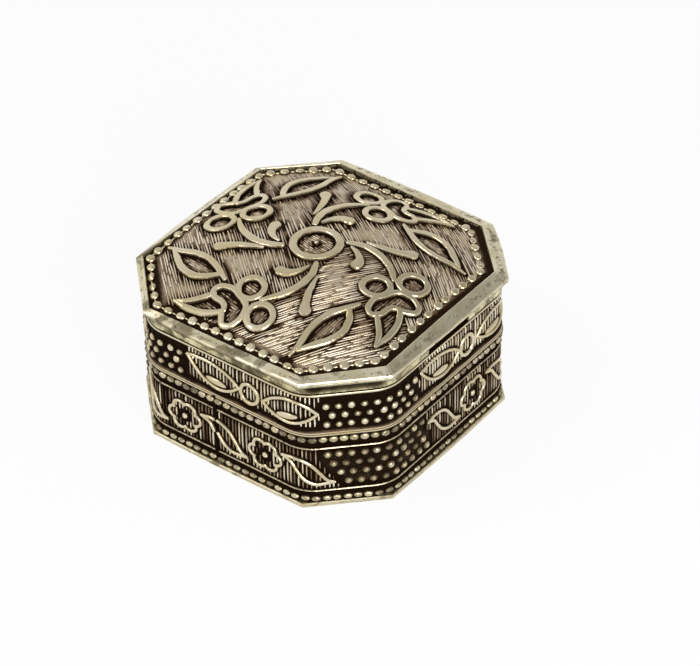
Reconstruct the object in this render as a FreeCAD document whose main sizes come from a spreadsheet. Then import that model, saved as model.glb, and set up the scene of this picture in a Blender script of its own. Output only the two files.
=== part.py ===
"""An eight-sided white-metal pill box: a wall of two ornament strips and a lid on a pinned tube hinge.

The origin is the middle of the base plate's underside, +Z is up, the hinge runs along +Y
and the thumb notch faces -Y. All lengths are millimetres.
"""
import FreeCAD
import Part
import Sketcher
import math
import os

# Driving dimensions: name, value, what it measures
SIZES = [
    ("lid_width", 40.0, "lid across two facing long sides"),
    ("corner_cut", 8.0, "leg of each cut corner of the lid"),
    ("corner_round", 4.4, "upright corners of the inner wall's outer face"),
    ("wall_inset", 1.1, "inner wall's outer face, in from the lid's edge"),
    ("base_inset", 0.2, "base plate's edge, in from the lid's edge"),
    ("base_gauge", 0.6, "thickness of the base plate"),
    ("wall_gauge", 0.6, "thickness of the inner wall"),
    ("strip_gauge", 0.4, "thickness of the two ornament strips"),
    ("lower_height", 10.6, "height of the lower strip"),
    ("upper_height", 6.1, "height of the upper strip"),
    ("bead_stand", 0.42, "how far the lower strip's bead mouldings stand out"),
    ("foot_bead_height", 0.9, "height of the bead moulding at the foot"),
    ("top_bead_height", 1.0, "height of the bead moulding near the lower strip's top"),
    ("bead_top_margin", 0.35, "plain edge above the upper bead moulding"),
    ("shoulder_stand", 0.3, "how far the upper strip's sloping shoulder stands out"),
    ("shoulder_height", 0.7, "height of that shoulder"),
    ("margin_stand", 0.2, "how far the upper strip's top margin stands out"),
    ("margin_height", 0.55, "height of that margin"),
    ("line_stand", 0.2, "how far the lower strip's two thin lines stand out"),
    ("line_height", 0.34, "height of a thin line"),
    ("foot_line_level", 1.43, "foot of the lower line, over the lower strip's foot"),
    ("top_line_level", 8.08, "foot of the upper line, over the lower strip's foot"),
    ("stamp_stand", 0.3, "how far the strips' leaves, flowers and dots stand out"),
    ("stamp_width", 0.42, "raised outlines of the leaves and flowers"),
    ("stamp_clearance", 0.1, "upper strip's ornament to the hinge bearer above it"),
    ("dot_radius", 0.44, "dots of both strips"),
    ("dot_pitch", 1.54, "spacing of the dots along the wall"),
    ("flower_radius", 2.36, "flowers of the lower strip, to the tips of their petals"),
    ("flower_level", 4.75, "middle of a flower, over the lower strip's foot"),
    ("flower_offset", 6.0, "first flower, along the wall from the middle of the -X side"),
    ("flower_pitch", 33.0, "spacing of the flowers along the lower strip"),
    ("ring_offset", 3.9, "ring of the upper strip, along the wall from the middle of a long side"),
    ("oval_ring_radius", 1.38, "middle line of that ring"),
    ("oval_ring_level", 2.7, "middle of that ring, over the upper strip's foot"),
    ("parting_gap", 0.25, "gap between the upper strip and the lid's flange"),
    ("flange_clearance", 0.2, "inner wall to the flange around it"),
    ("flange_gauge", 0.45, "thickness of the lid's flange"),
    ("flange_height", 1.3, "height of the lid's flange"),
    ("notch_length", 8.2, "thumb notch in the flange"),
    ("closing_gap", 0.1, "inner wall's top edge to the lid plate"),
    ("plate_gauge", 0.4, "thickness of the lid plate"),
    ("dome_margin", 0.15, "level ground between the lid's rim and the foot of its dome"),
    ("dome_rise", 3.8, "height of the dome over the lid plate's edge"),
    ("field_level", 0.45, "foot of the dome, over the lid plate's edge"),
    ("relief_rise", 0.46, "how far the lid's ornament and bead border stand up"),
    ("ribbon_width", 0.86, "raised lines of the lid's ornament"),
    ("ring_radius", 2.9, "middle line of the ring at the lid's centre"),
    ("ring_width", 1.05, "width of that ring"),
    ("ornament_margin", 0.7, "lid's ornament to the middle of the bead border"),
    ("ornament_left", 0.4, "how far the lid's ornament lies off the middle, towards -X"),
    ("ornament_back", 0.5, "how far it lies off the middle, towards the hinge"),
    ("border_inset", 2.3, "middle of the bead border, in from the lid's edge"),
    ("border_bead_radius", 0.6, "beads of that border"),
    ("border_bead_pitch", 1.82, "rough spacing of those beads"),
    ("rim_width", 1.5, "width of the lid's sloping rim"),
    ("rim_height", 0.7, "height of that rim along its inner edge"),
    ("rim_land", 0.15, "level strip along the rim's inner edge"),
    ("hinge_length", 14.0, "length of the hinge tube, all knuckles together"),
    ("knuckle_radius", 0.7, "outside of the hinge tube"),
    ("knuckle_gap", 0.1, "gap between neighbouring knuckles"),
    ("knuckle_clearance", 0.15, "room around a knuckle that turns past a fixed piece"),
    ("pin_radius", 0.35, "hinge pin"),
    ("pin_clearance", 0.03, "pin to the bore of a lid knuckle"),
    ("pin_head_radius", 0.55, "riveted ends of the pin"),
    ("pin_head_height", 0.25, "thickness of a riveted end"),
    ("bearer_floor", 0.5, "metal of the base bearer under the tube"),
    ("bearer_lip", 0.6, "metal of the base bearer behind the tube, where the open lid stops"),
    ("bearer_drop", 0.1, "base bearer's top, below the hinge axis"),
]

# Insets of the walls from the lid's edge, as expressions on the sheet
WALL_OUTSIDE = "Sizes.wall_inset"
WALL_INSIDE = "(Sizes.wall_inset + Sizes.wall_gauge)"
STRIP_FACE = "(Sizes.wall_inset - Sizes.strip_gauge)"
BEAD_CREST = f"({STRIP_FACE} - Sizes.bead_stand)"
SHOULDER_FACE = f"({STRIP_FACE} - Sizes.shoulder_stand)"
MARGIN_FACE = f"({STRIP_FACE} - Sizes.margin_stand)"
LINE_FACE = f"({STRIP_FACE} - Sizes.line_stand)"
STAMP_FACE = f"({STRIP_FACE} - Sizes.stamp_stand)"
STAMP_ROOT = f"({STRIP_FACE} + Sizes.strip_gauge / 2)"
FLANGE_INSIDE = "(Sizes.wall_inset - Sizes.flange_clearance)"
FLANGE_FACE = f"({FLANGE_INSIDE} - Sizes.flange_gauge)"
LID_EDGE = "0"

# Heights of the stacked pieces
LOWER_FOOT = "Sizes.base_gauge"
LOWER_TOP = f"({LOWER_FOOT} + Sizes.lower_height)"
STRIP_TOP = f"({LOWER_TOP} + Sizes.upper_height)"
FLANGE_FOOT = f"({STRIP_TOP} + Sizes.parting_gap)"
PLATE_FOOT = f"({FLANGE_FOOT} + Sizes.flange_height)"
PLATE_TOP = f"({PLATE_FOOT} + Sizes.plate_gauge)"
TOP_BEAD_FOOT = f"({LOWER_TOP} - Sizes.bead_top_margin - Sizes.top_bead_height)"

# Outline of the lid's dome: octagonal at its foot and nearly round at its top
LID_REACH = "Sizes.lid_width / 2"
DOME_INSET = "(Sizes.rim_width + Sizes.dome_margin)"
DOME_SHARES = (1.0, 0.8, 0.6, 0.4, 0.2)
ROUND_SHARE_FOOT = 0.3
ROUND_SHARE_TOP = 0.85
EIGHTH = math.pi / 4
CORNER_SLOPE = math.tan(EIGHTH / 2)

# Hinge axis, parallel to X
AXIS_Y = f"({LID_REACH} - {FLANGE_FACE} + Sizes.knuckle_radius + Sizes.knuckle_clearance)"
AXIS_Z = f"({STRIP_TOP} + Sizes.parting_gap * 2 / 3)"
BEARER_FOOT = f"({AXIS_Z} - Sizes.knuckle_radius - Sizes.bearer_floor)"
KNUCKLE_COUNT = 5
KNUCKLE_LENGTH = (f"((Sizes.hinge_length - {KNUCKLE_COUNT - 1} * Sizes.knuckle_gap)"
                  f" / {KNUCKLE_COUNT})")
BASE_KNUCKLES = {0: "base_knuckle_left", 2: "base_knuckle_middle", 4: "base_knuckle_right"}
LID_KNUCKLES = {1: "lid_knuckle_left", 3: "lid_knuckle_right"}

# Corners of an octagon as signed shares of its reach and of half its long side
CORNERS = [(("reach", 1), ("half_side", -1)), (("reach", 1), ("half_side", 1)),
           (("half_side", 1), ("reach", 1)), (("half_side", -1), ("reach", 1)),
           (("reach", -1), ("half_side", 1)), (("reach", -1), ("half_side", -1)),
           (("half_side", -1), ("reach", -1)), (("half_side", 1), ("reach", -1))]

# The lid's ornament about its own middle: one of four like groups, a quarter turn apart. A petal has a
# middle, two radii and a tilt; a ribbon has three points of its middle line, and there a share of its width
DRAWN_REACH = 17.0
PETALS = [((-1.65, -10.65), (1.74, 1.6), -35.0), ((1.95, -13.6), (1.75, 1.62), -40.0),
          ((-1.25, -14.7), (1.95, 1.28), 94.0), ((-3.9, -12.85), (1.85, 1.05), 8.0)]
LEAF = [(((-16.2, -8.72), (-11.0, -8.4), (-5.8, -10.8)), (0.5, 1.0, 0.6)),
        (((-15.3, -9.05), (-10.5, -11.9), (-6.6, -10.4)), (0.6, 1.0, 0.7))]
BUD = [(((-5.3, -13.4), (-7.0, -15.05), (-9.3, -16.25)), (0.8, 0.85, 0.5)),
       (((-9.3, -16.25), (-5.8, -16.4), (-2.6, -14.9)), (0.5, 0.9, 0.7))]
STEM = [(((2.6, -3.2), (3.4, -6.4), (0.8, -11.5)), (0.8, 1.15, 0.7))]
COMMAS = [(((-0.3, -6.5), (1.3, -5.85), (2.1, -4.1)), (1.6, 1.1, 0.4)),
          (((4.15, -5.0), (5.0, -7.9), (6.3, -10.2)), (0.4, 1.05, 1.75))]

# The strips' leaves: tip, a point of each edge and other tip, along the wall and up from the strip's foot
LOWER_LEAF = ((0.0, 6.25), (3.7, 5.75), (2.6, 3.6), (6.5, 2.9))
LOWER_LEAF_STARTS = (-9.4, 2.8)
LEFT_LEAF = ((-9.6, 4.5), (-5.3, 4.75), (-5.4, 1.2), (-1.6, 2.8))
RIGHT_LEAF = ((2.1, 2.6), (6.1, 4.7), (5.7, 1.25), (9.6, 3.1))
PETAL_COUNT = 6
CUSP_SHARE = 0.78
SEED_SHARE = 0.2

# The strips' dots: heights of the rows over the strip's foot, start after a flower or ring, shift by row
LOWER_DOTS = {"rows": (7.25, 5.8, 4.35, 2.9), "start": 8.5, "shifts": (0.0, 0.85, 1.7, 2.55), "count": 9}
UPPER_DOTS = {"rows": (4.15, 2.75, 1.4), "start": 10.6, "shifts": (0.0, 0.78, 0.0), "count": 8}

doc = FreeCAD.newDocument("pill_box")
pieces = []


def add_sheet():
    """Write the driving dimensions to a spreadsheet with one alias each."""
    sheet = doc.addObject("Spreadsheet::Sheet", "Sizes")
    for row, (alias, value, note) in enumerate(SIZES, start=1):
        sheet.set(f"A{row}", note)
        sheet.set(f"B{row}", str(value))
        sheet.setAlias(f"B{row}", alias)
    doc.recompute()
    return sheet


def measure(expression):
    """Return the present value of an expression on the sheet."""
    value = sheet.evalExpression(expression.replace("Sizes.", ""))
    return float(getattr(value, "Value", value))


def new_body(name):
    """Start a piece that is built up from sketches."""
    body = new_form(name)
    pieces.append(body)
    return body


def new_form(name):
    """Start a shape that is built up from sketches and becomes a part of a piece."""
    body = doc.addObject("PartDesign::Body", name)
    body.Label = name
    return body


def keep(piece, name):
    """Name a finished piece that was made from primitives."""
    piece.Label = name
    pieces.append(piece)


def add_octagon(sketch, inset):
    """Draw the lid's outline, moved in by an inset, with every corner tied to the sheet."""
    spans = {"reach": f"{LID_REACH} - {inset}",
             "half_side": f"{LID_REACH} - Sizes.corner_cut - {inset} * (sqrt(2) - 1)"}
    length = {name: measure(span) for name, span in spans.items()}
    points = [FreeCAD.Vector(sx * length[x], sy * length[y], 0) for (x, sx), (y, sy) in CORNERS]
    first = sketch.GeometryCount
    count = len(points)
    for index in range(count):
        sketch.addGeometry(Part.LineSegment(points[index], points[(index + 1) % count]), False)
    for index in range(count):
        sketch.addConstraint(Sketcher.Constraint("Coincident", first + index, 2,
                                                 first + (index + 1) % count, 1))
    for index, corner in enumerate(CORNERS):
        for kind, (name, sign) in zip(("DistanceX", "DistanceY"), corner):
            origin_then_corner = (-1, 1, first + index, 1)
            corner_then_origin = (first + index, 1, -1, 1)
            ends = origin_then_corner if sign > 0 else corner_then_origin
            row = sketch.addConstraint(Sketcher.Constraint(kind, *ends, length[name]))
            sketch.setExpression(f"Constraints[{row}]", spans[name])


def outline_sketch(body, name, insets, level):
    """Draw an octagon, or the two sides of a ring, on a level plane."""
    sketch = body.newObject("Sketcher::SketchObject", name)
    plane = [item for item in body.Origin.OriginFeatures if item.Role == "XY_Plane"][0]
    sketch.AttachmentSupport = [(plane, "")]
    sketch.MapMode = "FlatFace"
    sketch.setExpression("AttachmentOffset.Base.z", level)
    for inset in insets:
        add_octagon(sketch, inset)
    doc.recompute()
    return sketch


def pad_outline(body, name, insets, foot, height):
    """Pad an octagon, or the ring between two, from a level upwards."""
    sketch = outline_sketch(body, f"{name}_outline", insets, foot)
    pad = body.newObject("PartDesign::Pad", name)
    pad.Profile = sketch
    pad.setExpression("Length", height)
    doc.recompute()


def flat_distance(edge):
    """Return how far an edge's middle lies from the box's upright axis."""
    middle = edge.valueAt((edge.FirstParameter + edge.LastParameter) / 2)
    return FreeCAD.Vector(middle.x, middle.y, 0).Length


def corner_distance(inset):
    """Return how far a corner of the octagon at an inset lies from the upright axis."""
    return math.hypot(measure(f"{LID_REACH} - {inset}"), half_sides(inset)[0])


def dress_edges(body, kind, name, names, size_property, size):
    """Fillet or chamfer the named edges of a body's last feature."""
    base = body.Tip
    dress = body.newObject(kind, name)
    dress.Base = (base, names)
    dress.setExpression(size_property, size)
    body.Tip = dress
    doc.recompute()


def round_corners(body, inset):
    """Round the upright corners that lie on the octagon at an inset, all about common centres."""
    distance = corner_distance(inset)
    names = [f"Edge{index}" for index, edge in enumerate(body.Shape.Edges, start=1)
             if abs(edge.tangentAt(edge.FirstParameter).z) > 0.999
             and abs(flat_distance(edge) - distance) < 1e-4]
    radius = f"Sizes.corner_round + Sizes.wall_inset - {inset}"
    dress_edges(body, "PartDesign::Fillet", f"{body.Name}_corners", names, "Radius", radius)


def level_edges(body, inset, levels):
    """Name the level edges that run round the outline at an inset, at the given heights."""
    heights = [measure(level) for level in levels]
    reach = measure(f"{LID_REACH} - {inset}")
    names = []
    for index, edge in enumerate(body.Shape.Edges, start=1):
        box = edge.BoundBox
        outermost = max(abs(box.XMin), abs(box.XMax), abs(box.YMin), abs(box.YMax))
        on_straight = abs(outermost - reach) < 1e-4
        if box.ZLength < 1e-6 and on_straight and any(abs(box.ZMin - z) < 1e-4 for z in heights):
            names.append(f"Edge{index}")
    return names


def add_wall(body, outside, inside, foot, height):
    """Add an upright wall of one thickness with round corners."""
    pad_outline(body, f"{body.Name}_wall", [outside, inside], foot, height)
    round_corners(body, outside)
    round_corners(body, inside)
    return body


def ribbon(points, widths):
    """Return a flat ribbon along the arc through three points, with a width at each and round ends."""
    start, middle, end = (FreeCAD.Vector(x, y, 0) for x, y in points)
    centre = Part.Arc(start, middle, end).toShape().Curve.Center
    left, right = [], []
    for point, width in zip((start, middle, end), widths):
        across = (point - centre).normalize() * (width / 2)
        left.append(point + across)
        right.append(point - across)
    caps = []
    for tip, other, width in ((end, middle, widths[2]), (start, middle, widths[0])):
        radial = (tip - centre).normalize()
        tangent = FreeCAD.Vector(-radial.y, radial.x, 0)
        forwards = 1 if tangent.dot(tip - other) > 0 else -1
        caps.append(tip + tangent * (forwards * width / 2))
    edges = [Part.Arc(left[0], left[1], left[2]), Part.Arc(left[2], caps[0], right[2]),
             Part.Arc(right[2], right[1], right[0]), Part.Arc(right[0], caps[1], left[0])]
    return Part.Face(Part.Wire([edge.toShape() for edge in edges]))


def disc(place, radius):
    """Return a flat disc."""
    circle = Part.Circle(FreeCAD.Vector(*place, 0), FreeCAD.Vector(0, 0, 1), radius)
    return Part.Face(Part.Wire(circle.toShape()))


def band(outer, inner):
    """Return what lies between two flat shapes, one inside the other."""
    return outer.cut(inner).Faces[0]


def oval_band(place, radii, tilt, width):
    """Return the flat band of a width along an oval."""
    faces = []
    for grow in (width / 2, -width / 2):
        oval = Part.Ellipse(FreeCAD.Vector(), radii[0] + grow, radii[1] + grow)
        face = Part.Face(Part.Wire(oval.toShape()))
        face.rotate(FreeCAD.Vector(), FreeCAD.Vector(0, 0, 1), tilt)
        face.translate(FreeCAD.Vector(*place, 0))
        faces.append(face)
    return band(*faces)


def petal_outline(place, radius, shrink):
    """Return a flat flower of like petals whose outline is moved in."""
    def point(step, reach):
        """Return a point of the outline at a number of half petals."""
        turn = step * math.pi / PETAL_COUNT
        return FreeCAD.Vector(place[0] + reach * math.cos(turn), place[1] + reach * math.sin(turn), 0)

    tip, cusp = radius - shrink, radius * CUSP_SHARE - shrink
    edges = [Part.Arc(point(2 * k - 1, cusp), point(2 * k, tip), point(2 * k + 1, cusp)).toShape()
             for k in range(PETAL_COUNT)]
    return Part.Face(Part.Wire(edges))


def leaf_edges(corners, shift, width):
    """Return the two ribbons of a leaf from its tips and a point of each edge."""
    first, upper, lower, last = ((x + shift, y) for x, y in corners)
    return [ribbon((first, edge, last), (width, width, width)) for edge in (upper, lower)]


def add_prisms(name, faces_by_frame, depth, height):
    """Join prisms over flat faces, each in the frame of its drawing, into one form."""
    solids = []
    for frame, faces in faces_by_frame:
        for face in faces:
            prism = face.extrude(FreeCAD.Vector(0, 0, depth + height))
            prism.translate(FreeCAD.Vector(0, 0, -depth))
            prism.Placement = frame.multiply(prism.Placement)
            solids.append(prism)
    form = doc.addObject("Part::Feature", name)
    form.Shape = solids[0].multiFuse(solids[1:])
    return form


def overlap(name, first, second):
    """Make the part that two shapes share."""
    common = doc.addObject("Part::Common", name)
    common.Base = first
    common.Tool = second
    return common


def half_sides(inset):
    """Return half the length of a long and of a short side of the octagon at an inset."""
    long_half = measure(f"{LID_REACH} - Sizes.corner_cut - {inset} * (sqrt(2) - 1)")
    reach = measure(f"{LID_REACH} - {inset}")
    return long_half, (reach - long_half) / math.sqrt(2)


def wall_frame(index):
    """Return the drawing frame on a side of the wall: along the wall, up and outwards."""
    turn = math.pi + index * EIGHTH
    outwards = FreeCAD.Vector(math.cos(turn), math.sin(turn), 0)
    upwards = FreeCAD.Vector(0, 0, 1)
    long_half, _ = half_sides(STRIP_FACE)
    reach = measure(f"{LID_REACH} - {STRIP_FACE}")
    if index % 2:
        reach = (reach + long_half) / math.sqrt(2)
    turned = FreeCAD.Rotation(upwards.cross(outwards), upwards, outwards, "XYZ")
    return FreeCAD.Placement(outwards * reach, turned)


def wall_round():
    """Return the radius of the strips' upright corners."""
    return measure(f"Sizes.corner_round + Sizes.wall_inset - {STRIP_FACE}")


def wall_eighth():
    """Return the way along the wall from the middle of a side to the middle of the next."""
    return sum(half_sides(STRIP_FACE)) - wall_round() * (2 * CORNER_SLOPE - EIGHTH)


def wall_place(walked):
    """Return the side of the wall at a way along it, and the place along that side's frame."""
    index = round(walked / wall_eighth())
    offset = walked - index * wall_eighth()
    flat = half_sides(STRIP_FACE)[index % 2] - wall_round() * CORNER_SLOPE
    if abs(offset) > flat:
        bend = (abs(offset) - flat) / wall_round()
        offset = math.copysign(flat + wall_round() * math.sin(bend), offset)
    return index % len(CORNERS), offset


def dot_faces(dots, starts, foot):
    """Return the frames and flat discs of a strip's dots."""
    pitch, radius = measure("Sizes.dot_pitch"), measure("Sizes.dot_radius")
    placed_discs = []
    for start in starts:
        for level, shift in zip(dots["rows"], dots["shifts"]):
            for count in range(dots["count"]):
                side, offset = wall_place(start + dots["start"] + shift + count * pitch)
                placed_discs.append((wall_frame(side), [disc((offset, measure(foot) + level), radius)]))
    return placed_discs


def stamp(name, strip, faces_by_frame, foot, top):
    """Raise flat faces on a strip between two levels and keep the result as a piece."""
    shell = new_form(f"{name}_stamp_shell")
    add_wall(shell, STAMP_FACE, STAMP_ROOT, foot, f"{top} - {foot}")
    depth = wall_round()
    prisms = add_prisms(f"{name}_stamp_prisms", faces_by_frame, depth, measure("Sizes.stamp_stand") * 2)
    raised = overlap(f"{name}_stamp", shell, prisms)
    keep(join(name, [strip, raised]), name)


def add_base_plate():
    """Make the octagonal sheet that the box stands on."""
    body = new_body("base_plate")
    pad_outline(body, "base_sheet", ["Sizes.base_inset"], "0", "Sizes.base_gauge")


def add_inner_wall():
    """Make the plain wall that carries both strips and stands up inside the lid's flange."""
    height = f"{PLATE_FOOT} - Sizes.closing_gap - {LOWER_FOOT}"
    add_wall(new_body("inner_wall"), WALL_OUTSIDE, WALL_INSIDE, LOWER_FOOT, height)


def add_lower_strip():
    """Make the lower ornament strip with its mouldings, thin lines, flowers, leaves and dots."""
    body = new_form("lower_strip_form")
    pad_outline(body, "lower_sheet", [STRIP_FACE, WALL_OUTSIDE], LOWER_FOOT, "Sizes.lower_height")
    pad_outline(body, "foot_bead", [BEAD_CREST, WALL_OUTSIDE], LOWER_FOOT, "Sizes.foot_bead_height")
    pad_outline(body, "top_bead", [BEAD_CREST, WALL_OUTSIDE], TOP_BEAD_FOOT, "Sizes.top_bead_height")
    for line in ("foot_line", "top_line"):
        pad_outline(body, line, [LINE_FACE, WALL_OUTSIDE], f"{LOWER_FOOT} + Sizes.{line}_level",
                    "Sizes.line_height")
    for inset in (BEAD_CREST, LINE_FACE, STRIP_FACE, WALL_OUTSIDE):
        round_corners(body, inset)
    levels = [LOWER_FOOT, f"{LOWER_FOOT} + Sizes.foot_bead_height",
              TOP_BEAD_FOOT, f"{TOP_BEAD_FOOT} + Sizes.top_bead_height"]
    crest_round = "0.9 * min(Sizes.bead_stand; Sizes.foot_bead_height / 2; Sizes.top_bead_height / 2)"
    names = level_edges(body, BEAD_CREST, levels)
    dress_edges(body, "PartDesign::Fillet", "bead_rounding", names, "Radius", crest_round)
    pitch = measure("Sizes.flower_pitch")
    starts = [measure("Sizes.flower_offset") + count * pitch for count in range(len(CORNERS) // 2)]
    faces = [lower_group(2 * count, start - 2 * count * wall_eighth())
             for count, start in enumerate(starts)]
    faces += dot_faces(LOWER_DOTS, starts, LOWER_FOOT)
    stamp("lower_strip", body, faces, f"({LOWER_FOOT} + Sizes.foot_bead_height)", TOP_BEAD_FOOT)


def lower_group(side, offset):
    """Return the frame and flat faces of a flower between two leaves."""
    width, foot = measure("Sizes.stamp_width"), measure(LOWER_FOOT)
    radius = measure("Sizes.flower_radius")
    middle = (offset, foot + measure("Sizes.flower_level"))
    faces = [band(petal_outline(middle, radius, 0), petal_outline(middle, radius, width)),
             disc(middle, radius * SEED_SHARE)]
    corners = [(x, y + foot) for x, y in LOWER_LEAF]
    for start in LOWER_LEAF_STARTS:
        faces += leaf_edges(corners, offset + start, width)
    return wall_frame(side), faces


def add_upper_strip():
    """Make the upper ornament strip with its sloping shoulder, top margin, rings, leaves and dots."""
    body = new_form("upper_strip_form")
    margin_foot = f"{STRIP_TOP} - Sizes.margin_height"
    pad_outline(body, "upper_sheet", [STRIP_FACE, WALL_OUTSIDE], LOWER_TOP, "Sizes.upper_height")
    pad_outline(body, "shoulder", [SHOULDER_FACE, WALL_OUTSIDE], LOWER_TOP, "Sizes.shoulder_height")
    pad_outline(body, "margin", [MARGIN_FACE, WALL_OUTSIDE], margin_foot, "Sizes.margin_height")
    for inset in (SHOULDER_FACE, MARGIN_FACE, STRIP_FACE, WALL_OUTSIDE):
        round_corners(body, inset)
    names = level_edges(body, SHOULDER_FACE, [f"{LOWER_TOP} + Sizes.shoulder_height"])
    slope = "0.9 * min(Sizes.shoulder_stand; Sizes.shoulder_height)"
    dress_edges(body, "PartDesign::Chamfer", "shoulder_slope", names, "Size", slope)
    sides = range(0, len(CORNERS), 2)
    starts = [measure("Sizes.ring_offset") + side * wall_eighth() for side in sides]
    faces = [upper_group(side) for side in sides] + dot_faces(UPPER_DOTS, starts, LOWER_TOP)
    stamp("upper_strip", body, faces, f"({LOWER_TOP} + Sizes.shoulder_height)",
          f"({BEARER_FOOT} - Sizes.stamp_clearance)")


def upper_group(side):
    """Return the frame and flat faces of a ring between two leaves."""
    width, foot, offset = measure("Sizes.stamp_width"), measure(LOWER_TOP), measure("Sizes.ring_offset")
    radius = measure("Sizes.oval_ring_radius")
    middle = (offset, foot + measure("Sizes.oval_ring_level"))
    faces = [band(disc(middle, radius + width / 2), disc(middle, radius - width / 2))]
    for leaf in (LEFT_LEAF, RIGHT_LEAF):
        faces += leaf_edges([(x, y + foot) for x, y in leaf], offset, width)
    return wall_frame(side), faces


def dome_section(name, share, trim, lift):
    """Make one level outline of the dome, moved in by a trim and up by a lift."""
    foot_reach = measure(f"{LID_REACH} - {DOME_INSET}")
    slimness = half_sides(DOME_INSET)[0] / foot_reach
    reach = share * foot_reach - trim
    half_side = reach * (CORNER_SLOPE + (slimness - CORNER_SLOPE) * share)
    bend = reach * (ROUND_SHARE_TOP + (ROUND_SHARE_FOOT - ROUND_SHARE_TOP) * share)
    rise, field = measure("Sizes.dome_rise"), measure("Sizes.field_level")
    level = measure(PLATE_TOP) + field + (rise - field) * (1 - share ** 2) + lift
    spans = {"reach": reach - bend, "half_side": half_side - bend * CORNER_SLOPE}
    arcs = []
    for index, ((x, sx), (y, sy)) in enumerate(CORNERS):
        centre = FreeCAD.Vector(sx * spans[x], sy * spans[y], level)
        turns = [(index + step) * EIGHTH for step in (-1, -0.5, 0)]
        arcs.append([centre + FreeCAD.Vector(math.cos(turn), math.sin(turn), 0) * bend for turn in turns])
    edges = []
    for index, arc in enumerate(arcs):
        edges.append(Part.Arc(*arc).toShape())
        edges.append(Part.LineSegment(arc[2], arcs[(index + 1) % len(arcs)][0]).toShape())
    section = doc.addObject("Part::Feature", name)
    section.Shape = Part.Wire(edges)
    return section


def add_dome(name, trim, lift, foot):
    """Make a full dome that stands on a level, smooth from its octagonal foot to its round top."""
    sections = [dome_section(f"{name}_section_{index}", share, trim, lift)
                for index, share in enumerate(DOME_SHARES)]
    loft = doc.addObject("Part::Loft", f"{name}_loft")
    loft.Sections = sections
    loft.Solid = True
    skirt = doc.addObject("Part::Extrusion", f"{name}_skirt")
    skirt.Base = sections[0]
    skirt.DirMode = "Custom"
    skirt.Dir = FreeCAD.Vector(0, 0, -1)
    skirt.LengthFwd = sections[0].Shape.BoundBox.ZMin - measure(foot)
    skirt.Solid = True
    return join(name, [loft, skirt])


def border_beads():
    """Return the flat discs of the lid's bead border, evenly spaced along each side."""
    reach, radius = measure(f"{LID_REACH} - Sizes.border_inset"), measure("Sizes.border_bead_radius")
    pitch = measure("Sizes.border_bead_pitch")
    long_half, _ = half_sides("Sizes.border_inset")
    spans = {"reach": reach, "half_side": long_half}
    corners = [FreeCAD.Vector(sx * spans[x], sy * spans[y], 0) for (x, sx), (y, sy) in CORNERS]
    faces = []
    for index, corner in enumerate(corners):
        side = corners[(index + 1) % len(corners)] - corner
        count = max(1, round(side.Length / pitch))
        for step in range(count):
            place = corner + side * (step / count)
            faces.append(disc((place.x, place.y), radius))
    return faces


def lid_ornament():
    """Return the flat faces of the four flowers, drawn to the room inside the bead border."""
    scale = measure(f"{LID_REACH} - Sizes.border_inset - Sizes.ornament_margin") / DRAWN_REACH
    width = measure("Sizes.ribbon_width")
    faces = []
    for centre, radii, tilt in PETALS:
        faces.append(oval_band([scale * value for value in centre], [scale * value for value in radii],
                               tilt, width))
    for points, shares in LEAF + BUD + STEM + COMMAS:
        places = [(scale * x, scale * y) for x, y in points]
        faces.append(ribbon(places, [share * width for share in shares]))
    return faces


def add_lid_plate():
    """Make the octagonal sheet of the lid, pressed up into a dome with flowers and a bead border."""
    sheet_form = new_form("lid_sheet_form")
    pad_outline(sheet_form, "lid_sheet", [LID_EDGE], PLATE_FOOT, "Sizes.plate_gauge")
    pad_outline(sheet_form, "lid_field", ["Sizes.rim_width"], PLATE_TOP, "Sizes.field_level")
    gauge = measure("Sizes.plate_gauge")
    dome = add_dome("lid_dome", 0, 0, PLATE_TOP)
    crest = add_dome("lid_crest", 0, measure("Sizes.relief_rise"), PLATE_TOP)
    hollow = add_dome("lid_hollow", gauge, -gauge, PLATE_FOOT)
    radius, half_width = measure("Sizes.ring_radius"), measure("Sizes.ring_width") / 2
    ring = band(disc((0, 0), radius + half_width), disc((0, 0), radius - half_width))
    level = measure(PLATE_TOP)
    middle = FreeCAD.Vector(-measure("Sizes.ornament_left"), measure("Sizes.ornament_back"), level)
    faces = [(FreeCAD.Placement(FreeCAD.Vector(0, 0, level), FreeCAD.Rotation()), border_beads()),
             (FreeCAD.Placement(middle, FreeCAD.Rotation()), [ring])]
    for turns in range(4):
        quarter = FreeCAD.Rotation(FreeCAD.Vector(0, 0, 1), -90 * turns)
        faces.append((FreeCAD.Placement(middle, quarter), lid_ornament()))
    height = measure("Sizes.dome_rise + Sizes.relief_rise") * 2
    relief = overlap("lid_relief", crest, add_prisms("lid_relief_prisms", faces, 0, height))
    keep(cut_away("lid_plate", join("lid_pressing", [sheet_form, dome, relief]), hollow), "lid_plate")


def add_lid_rim():
    """Make the border around the lid's field, which rises from the lid's edge inwards."""
    body = new_body("lid_rim")
    foot = outline_sketch(body, "rim_foot", [LID_EDGE], PLATE_TOP)
    top = outline_sketch(body, "rim_top", ["(Sizes.rim_width - Sizes.rim_land)"],
                         f"{PLATE_TOP} + Sizes.rim_height")
    slope = body.newObject("PartDesign::AdditiveLoft", "rim_slope")
    slope.Profile = foot
    slope.Sections = [top]
    slope.Ruled = True
    doc.recompute()
    field = body.newObject("PartDesign::Pocket", "rim_field")
    field.Profile = outline_sketch(body, "rim_inside", ["Sizes.rim_width"], PLATE_TOP)
    field.Reversed = True
    field.setExpression("Length", "Sizes.rim_height")
    doc.recompute()


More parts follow.
